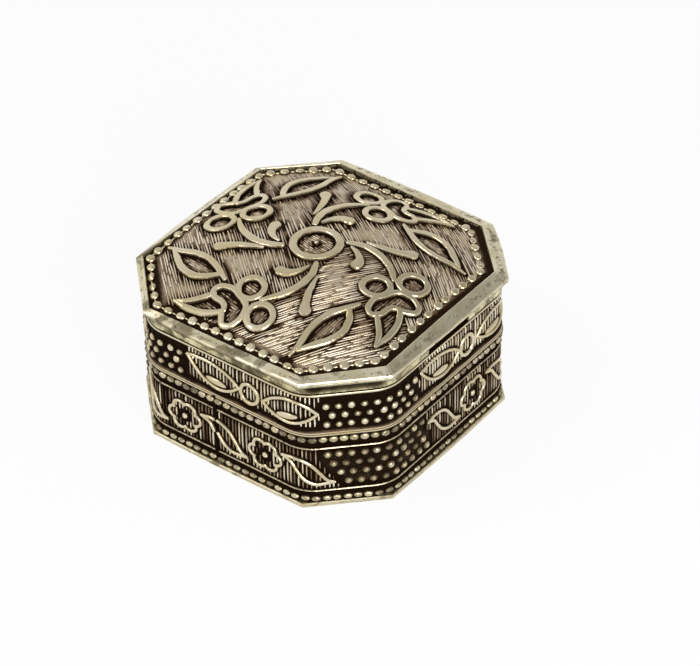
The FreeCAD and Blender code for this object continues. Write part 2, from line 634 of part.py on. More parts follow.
def add_lid_flange():
    """Make the shallow skirt under the lid, open at the thumb notch in front."""
    body = add_wall(new_body("lid_flange"), FLANGE_FACE, FLANGE_INSIDE, FLANGE_FOOT, "Sizes.flange_height")
    notch = body.newObject("PartDesign::SubtractiveBox", "thumb_notch")
    notch.setExpression("Length", "Sizes.notch_length")
    notch.setExpression("Width", "Sizes.flange_gauge * 3")
    notch.setExpression("Height", "Sizes.flange_height")
    notch.setExpression("Placement.Base.x", "-Sizes.notch_length / 2")
    notch.setExpression("Placement.Base.y", f"-({LID_REACH} - {FLANGE_FACE}) - Sizes.flange_gauge")
    notch.setExpression("Placement.Base.z", FLANGE_FOOT)
    body.Tip = notch
    doc.recompute()


def add_rod(name, radius, start, length):
    """Make a cylinder on the hinge axis, from a place along X."""
    rod = doc.addObject("Part::Cylinder", name)
    rod.Placement = FreeCAD.Placement(FreeCAD.Vector(), FreeCAD.Rotation(FreeCAD.Vector(0, 1, 0), 90))
    rod.setExpression("Radius", radius)
    rod.setExpression("Height", length)
    rod.setExpression("Placement.Base.x", start)
    rod.setExpression("Placement.Base.y", AXIS_Y)
    rod.setExpression("Placement.Base.z", AXIS_Z)
    return rod


def cut_away(name, base, tool):
    """Cut one shape out of another."""
    cut = doc.addObject("Part::Cut", name)
    cut.Base = base
    cut.Tool = tool
    return cut


def join(name, shapes):
    """Join shapes into one."""
    fuse = doc.addObject("Part::MultiFuse", name)
    fuse.Shapes = shapes
    return fuse


def knuckle_start(index):
    """Return where a knuckle starts along X, as an expression."""
    return f"(-Sizes.hinge_length / 2 + {index} * ({KNUCKLE_LENGTH} + Sizes.knuckle_gap))"


def add_knuckles(names, bore):
    """Make the lengths of tube that one half of the hinge holds."""
    for index, name in names.items():
        start = knuckle_start(index)
        tube = add_rod(f"{name}_tube", "Sizes.knuckle_radius", start, KNUCKLE_LENGTH)
        hole = add_rod(f"{name}_hole", bore, start, KNUCKLE_LENGTH)
        keep(cut_away(name, tube, hole), name)


def add_pin():
    """Make the hinge pin with its two riveted ends."""
    shaft = add_rod("pin_shaft", "Sizes.pin_radius", "-Sizes.hinge_length / 2", "Sizes.hinge_length")
    starts = ["-Sizes.hinge_length / 2 - Sizes.pin_head_height", "Sizes.hinge_length / 2"]
    heads = [add_rod(f"pin_head_{index}", "Sizes.pin_head_radius", start, "Sizes.pin_head_height")
             for index, start in enumerate(starts)]
    keep(join("hinge_pin", [shaft] + heads), "hinge_pin")


def add_bearer(name, own, others, front, depth, foot, height):
    """Make a strip with a channel for its own knuckles and room for the others to turn."""
    block = doc.addObject("Part::Box", f"{name}_block")
    block.setExpression("Length", "Sizes.hinge_length")
    block.setExpression("Width", depth)
    block.setExpression("Height", height)
    block.setExpression("Placement.Base.x", "-Sizes.hinge_length / 2")
    block.setExpression("Placement.Base.y", front)
    block.setExpression("Placement.Base.z", foot)
    tools = []
    for index in own:
        tools.append(add_rod(f"{name}_seat_{index}", "Sizes.knuckle_radius",
                             knuckle_start(index), KNUCKLE_LENGTH))
    for index in others:
        tools.append(add_rod(f"{name}_room_{index}", "Sizes.knuckle_radius + Sizes.knuckle_clearance",
                             f"{knuckle_start(index)} - Sizes.knuckle_gap",
                             f"{KNUCKLE_LENGTH} + 2 * Sizes.knuckle_gap"))
    keep(cut_away(name, block, join(f"{name}_channel", tools)), name)


def add_base_bearer():
    """Make the strip behind the wall that the base's knuckles lie in."""
    front = f"({LID_REACH} - {MARGIN_FACE})"
    depth = f"{AXIS_Y} + Sizes.knuckle_radius + Sizes.bearer_lip - {front}"
    height = f"{AXIS_Z} - Sizes.bearer_drop - {BEARER_FOOT}"
    add_bearer("base_hinge_bearer", BASE_KNUCKLES, LID_KNUCKLES, front, depth, BEARER_FOOT, height)


def add_lid_bearer():
    """Make the strip under the lid's edge that the lid's knuckles lie in."""
    front = f"({LID_REACH} - {FLANGE_FACE})"
    add_bearer("lid_hinge_bearer", LID_KNUCKLES, BASE_KNUCKLES, front, FLANGE_FACE,
               FLANGE_FOOT, "Sizes.flange_height")


def check_document():
    """Stop if any object failed or any piece is not one valid closed solid."""
    doc.recompute()
    for item in doc.Objects:
        if "Invalid" in item.State or "Error" in item.State:
            raise RuntimeError(f"{item.Label} failed: {item.State}")
    for piece in pieces:
        shape = piece.Shape
        if shape.isNull() or not shape.isValid() or len(shape.Solids) != 1:
            raise RuntimeError(f"{piece.Label} is not one valid solid")


def write_pieces():
    """Write every piece to a file named after it."""
    os.makedirs("parts", exist_ok=True)
    for piece in pieces:
        piece.Shape.exportStep(f"parts/{piece.Label}.step")
        box = piece.Shape.BoundBox
        print(f"{piece.Label}: {piece.Shape.Volume:.3f} mm3,"
              f" z {box.ZMin:.2f} to {box.ZMax:.2f}, y {box.YMin:.2f} to {box.YMax:.2f}")


sheet = add_sheet()
add_base_plate()
add_inner_wall()
add_lower_strip()
add_upper_strip()
add_base_bearer()
add_knuckles(BASE_KNUCKLES, "Sizes.pin_radius")
add_pin()
add_lid_plate()
add_lid_rim()
add_lid_flange()
add_lid_bearer()
add_knuckles(LID_KNUCKLES, "Sizes.pin_radius + Sizes.pin_clearance")
check_document()
write_pieces()
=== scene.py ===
"""Eight-sided antique-silver pill box with a domed relief lid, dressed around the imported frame.

Lengths inside the classes are millimetres in the frame's own axes: +Z is up, the hinge is on the +Y
side with its axis along X, and the thumb notch faces -Y. Meshes are written in metres.
"""
import logging
import math
from dataclasses import dataclass
from enum import Enum, IntEnum
from typing import Any, Callable, Iterator, Sequence

import bpy
import numpy as np
from mathutils import Matrix, Vector


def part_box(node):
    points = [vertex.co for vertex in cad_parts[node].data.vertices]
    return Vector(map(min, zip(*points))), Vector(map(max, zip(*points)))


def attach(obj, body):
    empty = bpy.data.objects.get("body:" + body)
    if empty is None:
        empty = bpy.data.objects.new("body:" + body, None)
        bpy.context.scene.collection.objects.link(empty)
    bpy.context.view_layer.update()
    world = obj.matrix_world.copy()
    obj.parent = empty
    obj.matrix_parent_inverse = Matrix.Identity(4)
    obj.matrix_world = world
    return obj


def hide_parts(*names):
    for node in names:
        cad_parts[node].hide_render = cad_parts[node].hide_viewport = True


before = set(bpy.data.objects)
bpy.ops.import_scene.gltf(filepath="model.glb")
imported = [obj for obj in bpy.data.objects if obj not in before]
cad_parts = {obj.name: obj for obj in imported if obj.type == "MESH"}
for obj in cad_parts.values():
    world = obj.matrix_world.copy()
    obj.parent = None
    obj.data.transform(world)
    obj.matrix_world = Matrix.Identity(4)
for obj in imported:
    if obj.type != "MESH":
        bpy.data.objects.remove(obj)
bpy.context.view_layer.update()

MM = 0.001
DIAGONAL = math.sqrt(2.0)
LONG_SIDE = 0.6
THINNEST = 0.05
OVAL_POINTS = 121
TINY = 1e-9
log = logging.getLogger("pill_box")

Colour = tuple[float, float, float]
Pair = tuple[float, float]
Grid = np.ndarray
Line = np.ndarray
Piece = bpy.types.Object
Finish = bpy.types.Material
Socket = bpy.types.NodeSocket
Lift = Callable[[Grid, Grid, Grid], Grid]
Control = Sequence[tuple[float, float, float]]


class Body(Enum):
    """The bodies of the frame that pieces ride on."""
    BASE = "base"
    LID = "lid"


class Slot(Enum):
    """Two material slot names of the record; no piece of this script is given either of them."""
    RELIEF = "relief_silver"
    PLAIN = "plain_silver"


class Cover(IntEnum):
    """What lies at a point of an ornament sheet."""
    GROUND = 0
    RAISED = 1
    INNER = 2
    BARE = 3


# Sizes and curves


def node_box(node: str) -> tuple[Grid, Grid]:
    """Return a node's lowest and highest corners in millimetres."""
    low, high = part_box(node)
    return np.array(low) / MM, np.array(high) / MM


def reach_of(node: str) -> float:
    """Return how far a node reaches towards +X, in millimetres."""
    return float(node_box(node)[1][0])


def soft_step(value: Grid) -> Grid:
    """Return a smooth step from 0 to 1 as the value goes from 0 to 1."""
    share = np.clip(value, 0.0, 1.0)
    return share * share * (3.0 - 2.0 * share)


def octagon(reach: float, half_side: float) -> Grid:
    """Return an octagon's corners, anticlockwise, of which every second one starts a long side."""
    r, h = reach, half_side
    return np.array([(-r, -h), (-h, -r), (h, -r), (r, -h), (r, h), (h, r), (-h, r), (-r, h)])


def half_side_at(edge: float, inset: float = 0.0) -> float:
    """Return half a long side of the octagon that lies in from the lid's edge by an inset."""
    return edge * LONG_SIDE - inset * (DIAGONAL - 1.0)


def walk_sides(corners: Grid, steps: tuple[int, int]) -> Iterator[tuple]:
    """Step along the sides of an octagon.

    Args:
        corners: Its corners, as octagon gives them.
        steps: Number of steps on a short side and on a long side.

    Returns:
        For each step the place, the side's normal, the share of the side and whether it is long.
    """
    for index, corner in enumerate(corners):
        way = corners[(index + 1) % len(corners)] - corner
        side = way / np.linalg.norm(way)
        normal = np.array([side[1], -side[0]])
        is_long = index % 2 == 1
        for share in np.linspace(0.0, 1.0, steps[is_long], endpoint=False):
            yield corner + way * share, normal, share, is_long


def free_runs(free: Grid) -> Iterator[tuple[int, int]]:
    """Return the starts and stops of the runs of true values."""
    ends = np.flatnonzero(np.diff(np.concatenate([[0], free.astype(int), [0]])))
    return zip(ends[::2], ends[1::2])


def smooth_line(points: Control, closed: bool = False, step: float = 0.1) -> Line:
    """Return a smooth line through control points.

    Args:
        points: Two coordinates and a width for each point.
        closed: Whether the line runs back to its first point.
        step: Rough distance between the points that are returned.

    Returns:
        Rows of two coordinates and a width.
    """
    knots = np.array(points, float)
    if closed:
        knots = np.vstack([knots[-1], knots, knots[0], knots[1]])
    else:
        knots = np.vstack([2 * knots[0] - knots[1], knots, 2 * knots[-1] - knots[-2]])
    pieces = []
    for before, start, end, after in zip(knots, knots[1:], knots[2:], knots[3:]):
        count = max(2, int(np.hypot(*(end - start)[:2]) / step))
        t = np.linspace(0.0, 1.0, count, endpoint=False)[:, None]
        curve = (2 * start + (end - before) * t
                 + (2 * before - 5 * start + 4 * end - after) * t ** 2
                 + (3 * start - before - 3 * end + after) * t ** 3)
        pieces.append(curve / 2)
    line = np.vstack(pieces + [knots[-2][None]])
    line[:, 2] = np.maximum(line[:, 2], THINNEST)
    return line


def oval(centre: Pair, radii: Pair, width: float = THINNEST, tilt: float = 0.0, lobes: int = 0,
         scallop: float = 0.0) -> Line:
    """Return a closed oval line, which may have scallops.

    Args:
        centre: Middle of the oval.
        radii: Its two half lengths.
        width: Width of the line.
        tilt: Turn of the oval in degrees.
        lobes: Number of scallops.
        scallop: Depth of a scallop as a share of the radius.

    Returns:
        Rows of two coordinates and a width.
    """
    turn = np.linspace(0.0, 2.0 * math.pi, OVAL_POINTS)
    reach = 1.0 - scallop * (1.0 - np.abs(np.cos(lobes * turn / 2.0)) ** 0.7)
    x = radii[0] * reach * np.cos(turn)
    y = radii[1] * reach * np.sin(turn)
    c, s = math.cos(math.radians(tilt)), math.sin(math.radians(tilt))
    return np.stack([centre[0] + c * x - s * y, centre[1] + s * x + c * y,
                     np.full_like(x, width)], axis=1)


def quarter_turns(line: Line, turns: int) -> Line:
    """Return a line turned clockwise by quarter turns about the middle."""
    turned = line.copy()
    for _ in range(turns):
        turned[:, 0], turned[:, 1] = turned[:, 1].copy(), -turned[:, 0].copy()
    return turned


def inside(x: Grid, y: Grid, polygon: Line) -> Grid:
    """Say which points lie inside a closed outline.

    Args:
        x: First coordinates.
        y: Second coordinates.
        polygon: Rows that start with two coordinates.

    Returns:
        One truth value for each point.
    """
    found = np.zeros(x.shape, bool)
    ends = np.roll(polygon, -1, axis=0)
    for (ax, ay), (bx, by) in zip(polygon[:, :2], ends[:, :2]):
        if ay == by:
            continue
        crosses = (ay > y) != (by > y)
        found ^= crosses & (x < (bx - ax) * (y - ay) / (by - ay) + ax)
    return found


class Outline:
    """An octagon of long and short sides with round corners, walked anticlockwise."""

    STEP = 0.02
    CORNER_POINTS = 40

    def __init__(self, reach: float, half_side: float, corner: float, start: float) -> None:
        """Lay out the walk round the octagon.

        Args:
            reach: Distance from the middle to a long side.
            half_side: Half the length of a long side.
            corner: Radius of the corners.
            start: Y of the place on the -X side where the walk starts.
        """
        corners = octagon(reach, half_side)
        trim = corner * math.tan(math.pi / 8)
        begin = np.array([-reach, start])
        here = begin
        points: list[Grid] = []
        normals: list[Grid] = []
        for index, vertex in enumerate(corners):
            heading = self._unit(vertex - here)
            onward = self._unit(corners[(index + 1) % len(corners)] - vertex)
            side = np.array([heading[1], -heading[0]])
            self._add_run(points, normals, here, vertex - heading * trim, side)
            centre = vertex - heading * trim - side * corner
            for share in np.linspace(0.0, 1.0, self.CORNER_POINTS, endpoint=False):
                angle = math.atan2(side[1], side[0]) + share * math.pi / 4
                normal = np.array([math.cos(angle), math.sin(angle)])
                points.append(centre + normal * corner)
                normals.append(normal)
            here = vertex + onward * trim
        self._add_run(points, normals, here, begin, np.array([-1.0, 0.0]))
        self._points = np.array(points)
        self._normals = np.array(normals)
        steps = np.hypot(*np.diff(self._points, axis=0).T)
        self._walked = np.concatenate([[0.0], np.cumsum(steps)])
        self.length = float(self._walked[-1])

    @staticmethod
    def _unit(vector: Grid) -> Grid:
        """Return a vector of length 1."""
        return vector / np.linalg.norm(vector)

    def _add_run(self, points: list, normals: list, first: Grid, last: Grid,
                 normal: Grid) -> None:
        """Add a straight run to the walk."""
        count = max(2, int(np.linalg.norm(last - first) / self.STEP))
        for share in np.linspace(0.0, 1.0, count):
            points.append(first + (last - first) * share)
            normals.append(normal)

    def at(self, walked: Grid) -> tuple[Grid, Grid]:
        """Return the points and outward normals at distances along the walk."""
        way = np.mod(walked, self.length)
        point = [np.interp(way, self._walked, self._points[:, axis]) for axis in (0, 1)]
        normal = [np.interp(way, self._walked, self._normals[:, axis]) for axis in (0, 1)]
        return np.stack(point, axis=-1), np.stack(normal, axis=-1)


class Relief:
    """Where raised ornament lies on a flat pattern, worked out at given points of it."""

    HALO = 0.5
    FAR = 6.0
    REACH = 2.6
    LAP = 0.05
    MARGIN = 0.1
    BATCH = 3000000
    LENS_FULLNESS = 0.75
    LENS_SHINE = 2.2

    def __init__(self, u: Grid, v: Grid) -> None:
        """Start with a plain sheet.

        Args:
            u: First coordinates of the points.
            v: Second coordinates of the points.
        """
        self.shape = u.shape
        self.u, self.v = u.ravel(), v.ravel()
        self.height = np.zeros(self.u.size)
        self.crest = np.zeros(self.u.size)
        self.gap = np.full(self.u.size, self.FAR)
        self.cover = np.full(self.u.size, int(Cover.GROUND))

    def _near(self, line: Line, margin: float) -> Grid:
        """Return the indices of the points close to a line's box."""
        low, high = line[:, :2].min(axis=0) - margin, line[:, :2].max(axis=0) + margin
        return np.flatnonzero((self.u > low[0]) & (self.u < high[0])
                              & (self.v > low[1]) & (self.v < high[1]))

    def trace(self, line: Line) -> None:
        """Note how far the points lie from the edge of a ribbon along a line.

        Args:
            line: Rows of two coordinates and a width.
        """
        near = self._near(line, line[:, 2].max() / 2.0 + self.REACH)
        for pick in np.array_split(near, max(1, near.size * len(line) // self.BATCH)):
            across = self.u[pick, None] - line[None, :, 0]
            up = self.v[pick, None] - line[None, :, 1]
            square = across * across + up * up
            nearest = square.argmin(axis=1)
            gap = np.sqrt(square[np.arange(pick.size), nearest]) - line[nearest, 2] / 2.0
            self.gap[pick] = np.minimum(self.gap[pick], gap)
            self.cover[pick[gap < self.LAP]] = int(Cover.RAISED)

    def mark(self, polygon: Line, cover: Cover) -> None:
        """Mark the points inside an outline that nothing raised covers."""
        near = self._near(polygon, self.MARGIN)
        held = inside(self.u[near], self.v[near], polygon)
        free = self.cover[near] != int(Cover.RAISED)
        self.cover[near[held & free]] = int(cover)

    def bulge(self, centre: Pair, radii: Pair, rise: float, tilt: float, shine: float) -> None:
        """Raise a smooth lens.

        Args:
            centre: Middle of the lens.
            radii: Its two half lengths.
            rise: Its height.
            tilt: Its turn in degrees.
            shine: How bright its crown is rubbed, from 0 to 1.
        """
        c, s = math.cos(math.radians(tilt)), math.sin(math.radians(tilt))
        x, y = self.u - centre[0], self.v - centre[1]
        share = ((c * x + s * y) / radii[0]) ** 2 + ((c * y - s * x) / radii[1]) ** 2
        pick = np.flatnonzero(share < 1.0)
        crown = (1.0 - share[pick]) ** self.LENS_FULLNESS
        self.height[pick] = np.maximum(self.height[pick], rise * crown)
        self.crest[pick] = np.maximum(self.crest[pick], shine * soft_step(crown * self.LENS_SHINE))

    def surface(self, groove: float) -> tuple[Grid, Grid, Grid]:
        """Return the grids of height, crest and foot.

        Args:
            groove: Depth of the groove at the foot of what is raised.

        Returns:
            The three grids, in the points' own order.
        """
        foot = np.exp(-(np.clip(self.gap, 0.0, self.FAR) / self.HALO) ** 2)
        dip = groove * foot * (1.0 - self.crest)
        return tuple(grid.reshape(self.shape) for grid in (self.height - dip, self.crest, foot))


class Ribbons:
    """Flat-topped ribbons that follow lines over a sheet, joined into one piece."""

    BEVEL = 0.1
    BEVEL_SHARE = 0.6
    FLARE = 0.06
    BURIED = 0.16
    CROWN = 0.02
    CAP_TURNS = (84.0, 62.0, 40.0, 20.0)
    STAGGER = 0.006
    STAGGER_STEPS = 7
    RAGGED = 0.06
    RAGGED_SPAN = 9
    RAGGED_GAIN = 0.3
    SHARP = 30.0
    WORN = (0.0, 0.8, 1.0, 1.0, 1.0, 0.8, 0.0)

    def __init__(self, lift: Lift, rise: float, seed: int) -> None:
        """Start with no ribbons.

        Args:
            lift: Gives points in space from two coordinates and a height over the sheet.
            rise: Height of the ribbons.
            seed: Seed of their ragged edges.
        """
        self.lift = lift
        self.rise = rise
        self.random = np.random.default_rng(seed)
        self.points: list[Grid] = []
        self.crests: list[Grid] = []
        self.faces: list[list[int]] = []
        self.rows = 0

    def _edge(self, count: int) -> Grid:
        """Return small smooth deviations of a hand-cut edge."""
        rough = self.random.normal(0.0, self.RAGGED, count + self.RAGGED_SPAN - 1)
        return np.convolve(rough, np.full(self.RAGGED_SPAN, self.RAGGED_GAIN), mode="valid")

    def _with_caps(self, line: Line) -> Line:
        """Return an open line with round ends added."""
        ends = []
        for tip, inner in ((line[0], line[1]), (line[-1], line[-2])):
            ahead = (tip - inner)[:2] / np.linalg.norm((tip - inner)[:2])
            turns = np.radians(self.CAP_TURNS)
            places = tip[:2] + ahead * (np.sin(turns) * tip[2] / 2.0)[:, None]
            ends.append(np.column_stack([places, np.cos(turns) * tip[2]]))
        return np.vstack([ends[0], line, ends[1][::-1]])

    def add(self, line: Line, closed: bool = False, rise: float = 1.0) -> None:
        """Sweep a ribbon along a line.

        Args:
            line: Rows of two coordinates and a width.
            closed: Whether the line runs back to its start.
            rise: Factor on the ribbon's height, and on how bright it is rubbed.
        """
        way = line[:-1] if closed else self._with_caps(line)
        count = len(way)
        ahead = np.roll(way, -1, axis=0)[:, :2] - np.roll(way, 1, axis=0)[:, :2]
        if not closed:
            ahead[0], ahead[-1] = (way[1] - way[0])[:2], (way[-1] - way[-2])[:2]
        ahead /= np.linalg.norm(ahead, axis=1)[:, None]
        left = np.stack([-ahead[:, 1], ahead[:, 0]], axis=1)
        half = way[:, 2] / 2.0
        bevel = np.minimum(self.BEVEL, half * self.BEVEL_SHARE)
        near, far = (half * (1.0 + self._edge(count)) for _ in range(2))
        top = self.rise * rise + self.STAGGER * (len(self.points) % self.STAGGER_STEPS)
        low, flat = np.full(count, -self.BURIED), np.full(count, top)
        profile = [(-near - self.FLARE, low), (-near, top - bevel), (bevel - near, flat),
                   (0.0 * half, np.full(count, top + self.CROWN)), (far - bevel, flat),
                   (far, top - bevel), (far + self.FLARE, low)]
        sections = [self.lift(*(way[:, :2] + left * across[:, None]).T, height)
                    for across, height in profile]
        self.points.append(np.stack(sections, axis=1).reshape(-1, 3))
        self.crests.append(np.tile(self.WORN, count) * rise)
        self._join(count, closed)

    def _join(self, count: int, closed: bool) -> None:
        """Add the faces between a ribbon's cross sections, and its ends."""
        width, first = len(self.WORN), self.rows * len(self.WORN)
        faces = loop_faces(count, width)
        if not closed:
            faces = faces[:(count - 1) * width]
            faces.append(list(range(width)))
            faces.append([(count - 1) * width + k for k in range(width - 1, -1, -1)])
        self.faces += [[first + index for index in face] for face in faces]
        self.rows += count

    def piece(self, name: str) -> Piece:
        """Return all ribbons as one mesh object."""
        crest = np.concatenate(self.crests)
        return mesh_object(name, np.vstack(self.points), self.faces, crest, 1.0 - crest, self.SHARP)


# Meshes


def new_object(name: str, data: Any) -> Piece:
    """Return a new object of the scene that shows the given data."""
    made = bpy.data.objects.new(name, data)
    bpy.context.scene.collection.objects.link(made)
    return made


def put_attribute(mesh: bpy.types.Mesh, label: str, values: Any, kind: str = "FLOAT") -> None:
    """Store a number or a direction on every point of a mesh.

    Args:
        mesh: The mesh.
        label: Name of the attribute.
        values: One number or direction for each point.
        kind: The attribute's type.
    """
    attribute = mesh.attributes.new(label, kind, "POINT")
    field = "value" if kind == "FLOAT" else "vector"
    attribute.data.foreach_set(field, np.asarray(values, np.float32).ravel())


def mesh_object(name: str, points: Grid, faces: list, crest: Grid | None = None,
                foot: Grid | None = None, sharp: float | None = None) -> Piece:
    """Make a mesh object at the origin.

    Args:
        name: Name of the piece.
        points: Rows of three coordinates in millimetres.
        faces: Rows of point indices, outwards anticlockwise.
        crest: How much each point is rubbed bright, from 0 to 1.
        foot: How close each point is to the foot of what is raised, from 0 to 1.
        sharp: Angle in degrees above which an edge is sharp.

    Returns:
        The object.
    """
    mesh = bpy.data.meshes.new(name)
    mesh.from_pydata((np.asarray(points) * MM).tolist(), [], faces)
    for label, values in (("crest", crest), ("foot", foot)):
        if values is not None:
            put_attribute(mesh, label, values)
    mesh.shade_smooth()
    if sharp is not None:
        mesh.set_sharp_from_angle(angle=math.radians(sharp))
    return new_object(name, mesh)


def loop_faces(rows: int, columns: int) -> list:
    """Return the quads of a grid that closes on itself both ways."""
    row, column = np.meshgrid(np.arange(rows), np.arange(columns), indexing="ij")
    after, beside = (row + 1) % rows, (column + 1) % columns
    quads = np.stack([row * columns + column, after * columns + column,
                      after * columns + beside, row * columns + beside], axis=-1)
    return quads.reshape(-1, 4).tolist()


def finish_piece(piece: Piece, body: Body, material: Finish,
                 replaced: Sequence[str] = ()) -> None:
    """Give a piece its finish and its body.

    Args:
        piece: The finished mesh object.
        body: Body that it rides on.
        material: Its finish.
        replaced: Nodes that it stands for.
    """
    if not piece.data.materials:
        piece.data.materials.append(material)
    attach(piece, body.value)
    if replaced:
        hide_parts(*replaced)
    log.info("%s: %d faces on %s", piece.name, len(piece.data.polygons), body.value)


# Nodes


class NodeGraph:
    """A node tree with short ways to add nodes and links."""

    def __init__(self, tree: bpy.types.NodeTree) -> None:
        """Wrap a tree."""
        self.tree = tree

    @classmethod
    def fresh(cls, owner: Any) -> "NodeGraph":
        """Return the emptied tree of a material or a world."""
        owner.use_nodes = True
        owner.node_tree.nodes.clear()
        return cls(owner.node_tree)

    def add(self, kind: str, settings: dict[str, Any] | None = None,
            inputs: dict[Any, Any] | None = None) -> bpy.types.Node:
        """Add a node.

        Args:
            kind: The node's type.
            settings: Properties to set before the sockets.
            inputs: Values, sockets or signals by socket name or index.

        Returns:
            The node.
        """
        node = self.tree.nodes.new(kind)
        for key, value in (settings or {}).items():
            setattr(node, key, value)
        for key, value in (inputs or {}).items():
            self.feed(node.inputs[key], value)
        return node

    def feed(self, socket: Socket, value: Any) -> None:
        """Set a socket to a value, or link it to a socket or signal."""
        if isinstance(value, Signal):
            value = value.socket
        if isinstance(value, Socket):
            self.tree.links.new(value, socket)
        else:
            socket.default_value = value

    def signal(self, node: bpy.types.Node, output: Any = 0) -> "Signal":
        """Return a node's output as a signal."""
        return Signal(self, node.outputs[output])

    def attribute(self, label: str) -> "Signal":
        """Return a number that is stored on the mesh."""
        return self.signal(self.add("ShaderNodeAttribute", {"attribute_name": label}), "Fac")

    def axes(self, place: Any) -> tuple["Signal", ...]:
        """Return the three coordinates of a place."""
        parts = self.add("ShaderNodeSeparateXYZ", None, {0: place})
        return tuple(self.signal(parts, axis) for axis in "XYZ")

    def ramp(self, value: "Signal", low: float, high: float) -> "Signal":
        """Return a smooth step of a signal from 0 at low to 1 at high."""
        node = self.add("ShaderNodeMapRange", {"interpolation_type": "SMOOTHSTEP", "clamp": True},
                        {"Value": value, "From Min": low, "From Max": high})
        return self.signal(node, "Result")

    def blend(self, share: Any, first: Any, second: Any) -> Socket:
        """Return the mix of two colours."""
        node = self.add("ShaderNodeMix", {"data_type": "RGBA"},
                        {"Factor": share, 6: first, 7: second})
        return node.outputs[2]

    def noise(self, place: Any, scale: float, detail: float = 3.0, stretch: float = 0.0) -> "Signal":
        """Return a noise from 0 to 1, with so many waves per metre, finer layers and distortion."""
        node = self.add("ShaderNodeTexNoise", None, {"Vector": place, "Scale": scale,
                                                     "Detail": detail, "Distortion": stretch})
        return self.signal(node, 0)


class Signal:
    """A node socket that adds Math nodes when it is used in arithmetic."""

    def __init__(self, graph: NodeGraph, socket: Socket) -> None:
        """Wrap a socket."""
        self.graph = graph
        self.socket = socket

    def _math(self, operation: str, first: Any, second: Any) -> "Signal":
        """Add a Math node on two values."""
        node = self.graph.add("ShaderNodeMath", {"operation": operation}, {0: first, 1: second})
        return self.graph.signal(node)

    def __add__(self, other: Any) -> "Signal":
        """Add a value."""
        return self._math("ADD", self, other)

    __radd__ = __add__

    def __mul__(self, other: Any) -> "Signal":
        """Multiply by a value."""
        return self._math("MULTIPLY", self, other)

    __rmul__ = __mul__

    def __sub__(self, other: Any) -> "Signal":
        """Take a value away."""
        return self._math("SUBTRACT", self, other)

    def __rsub__(self, other: Any) -> "Signal":
        """Take this away from a value."""
        return self._math("SUBTRACT", other, self)

    def least(self, other: Any) -> "Signal":
        """Return the smaller of this and a value."""
        return self._math("MINIMUM", self, other)

    def most(self, other: Any) -> "Signal":
        """Return the larger of this and a value."""
        return self._math("MAXIMUM", self, other)


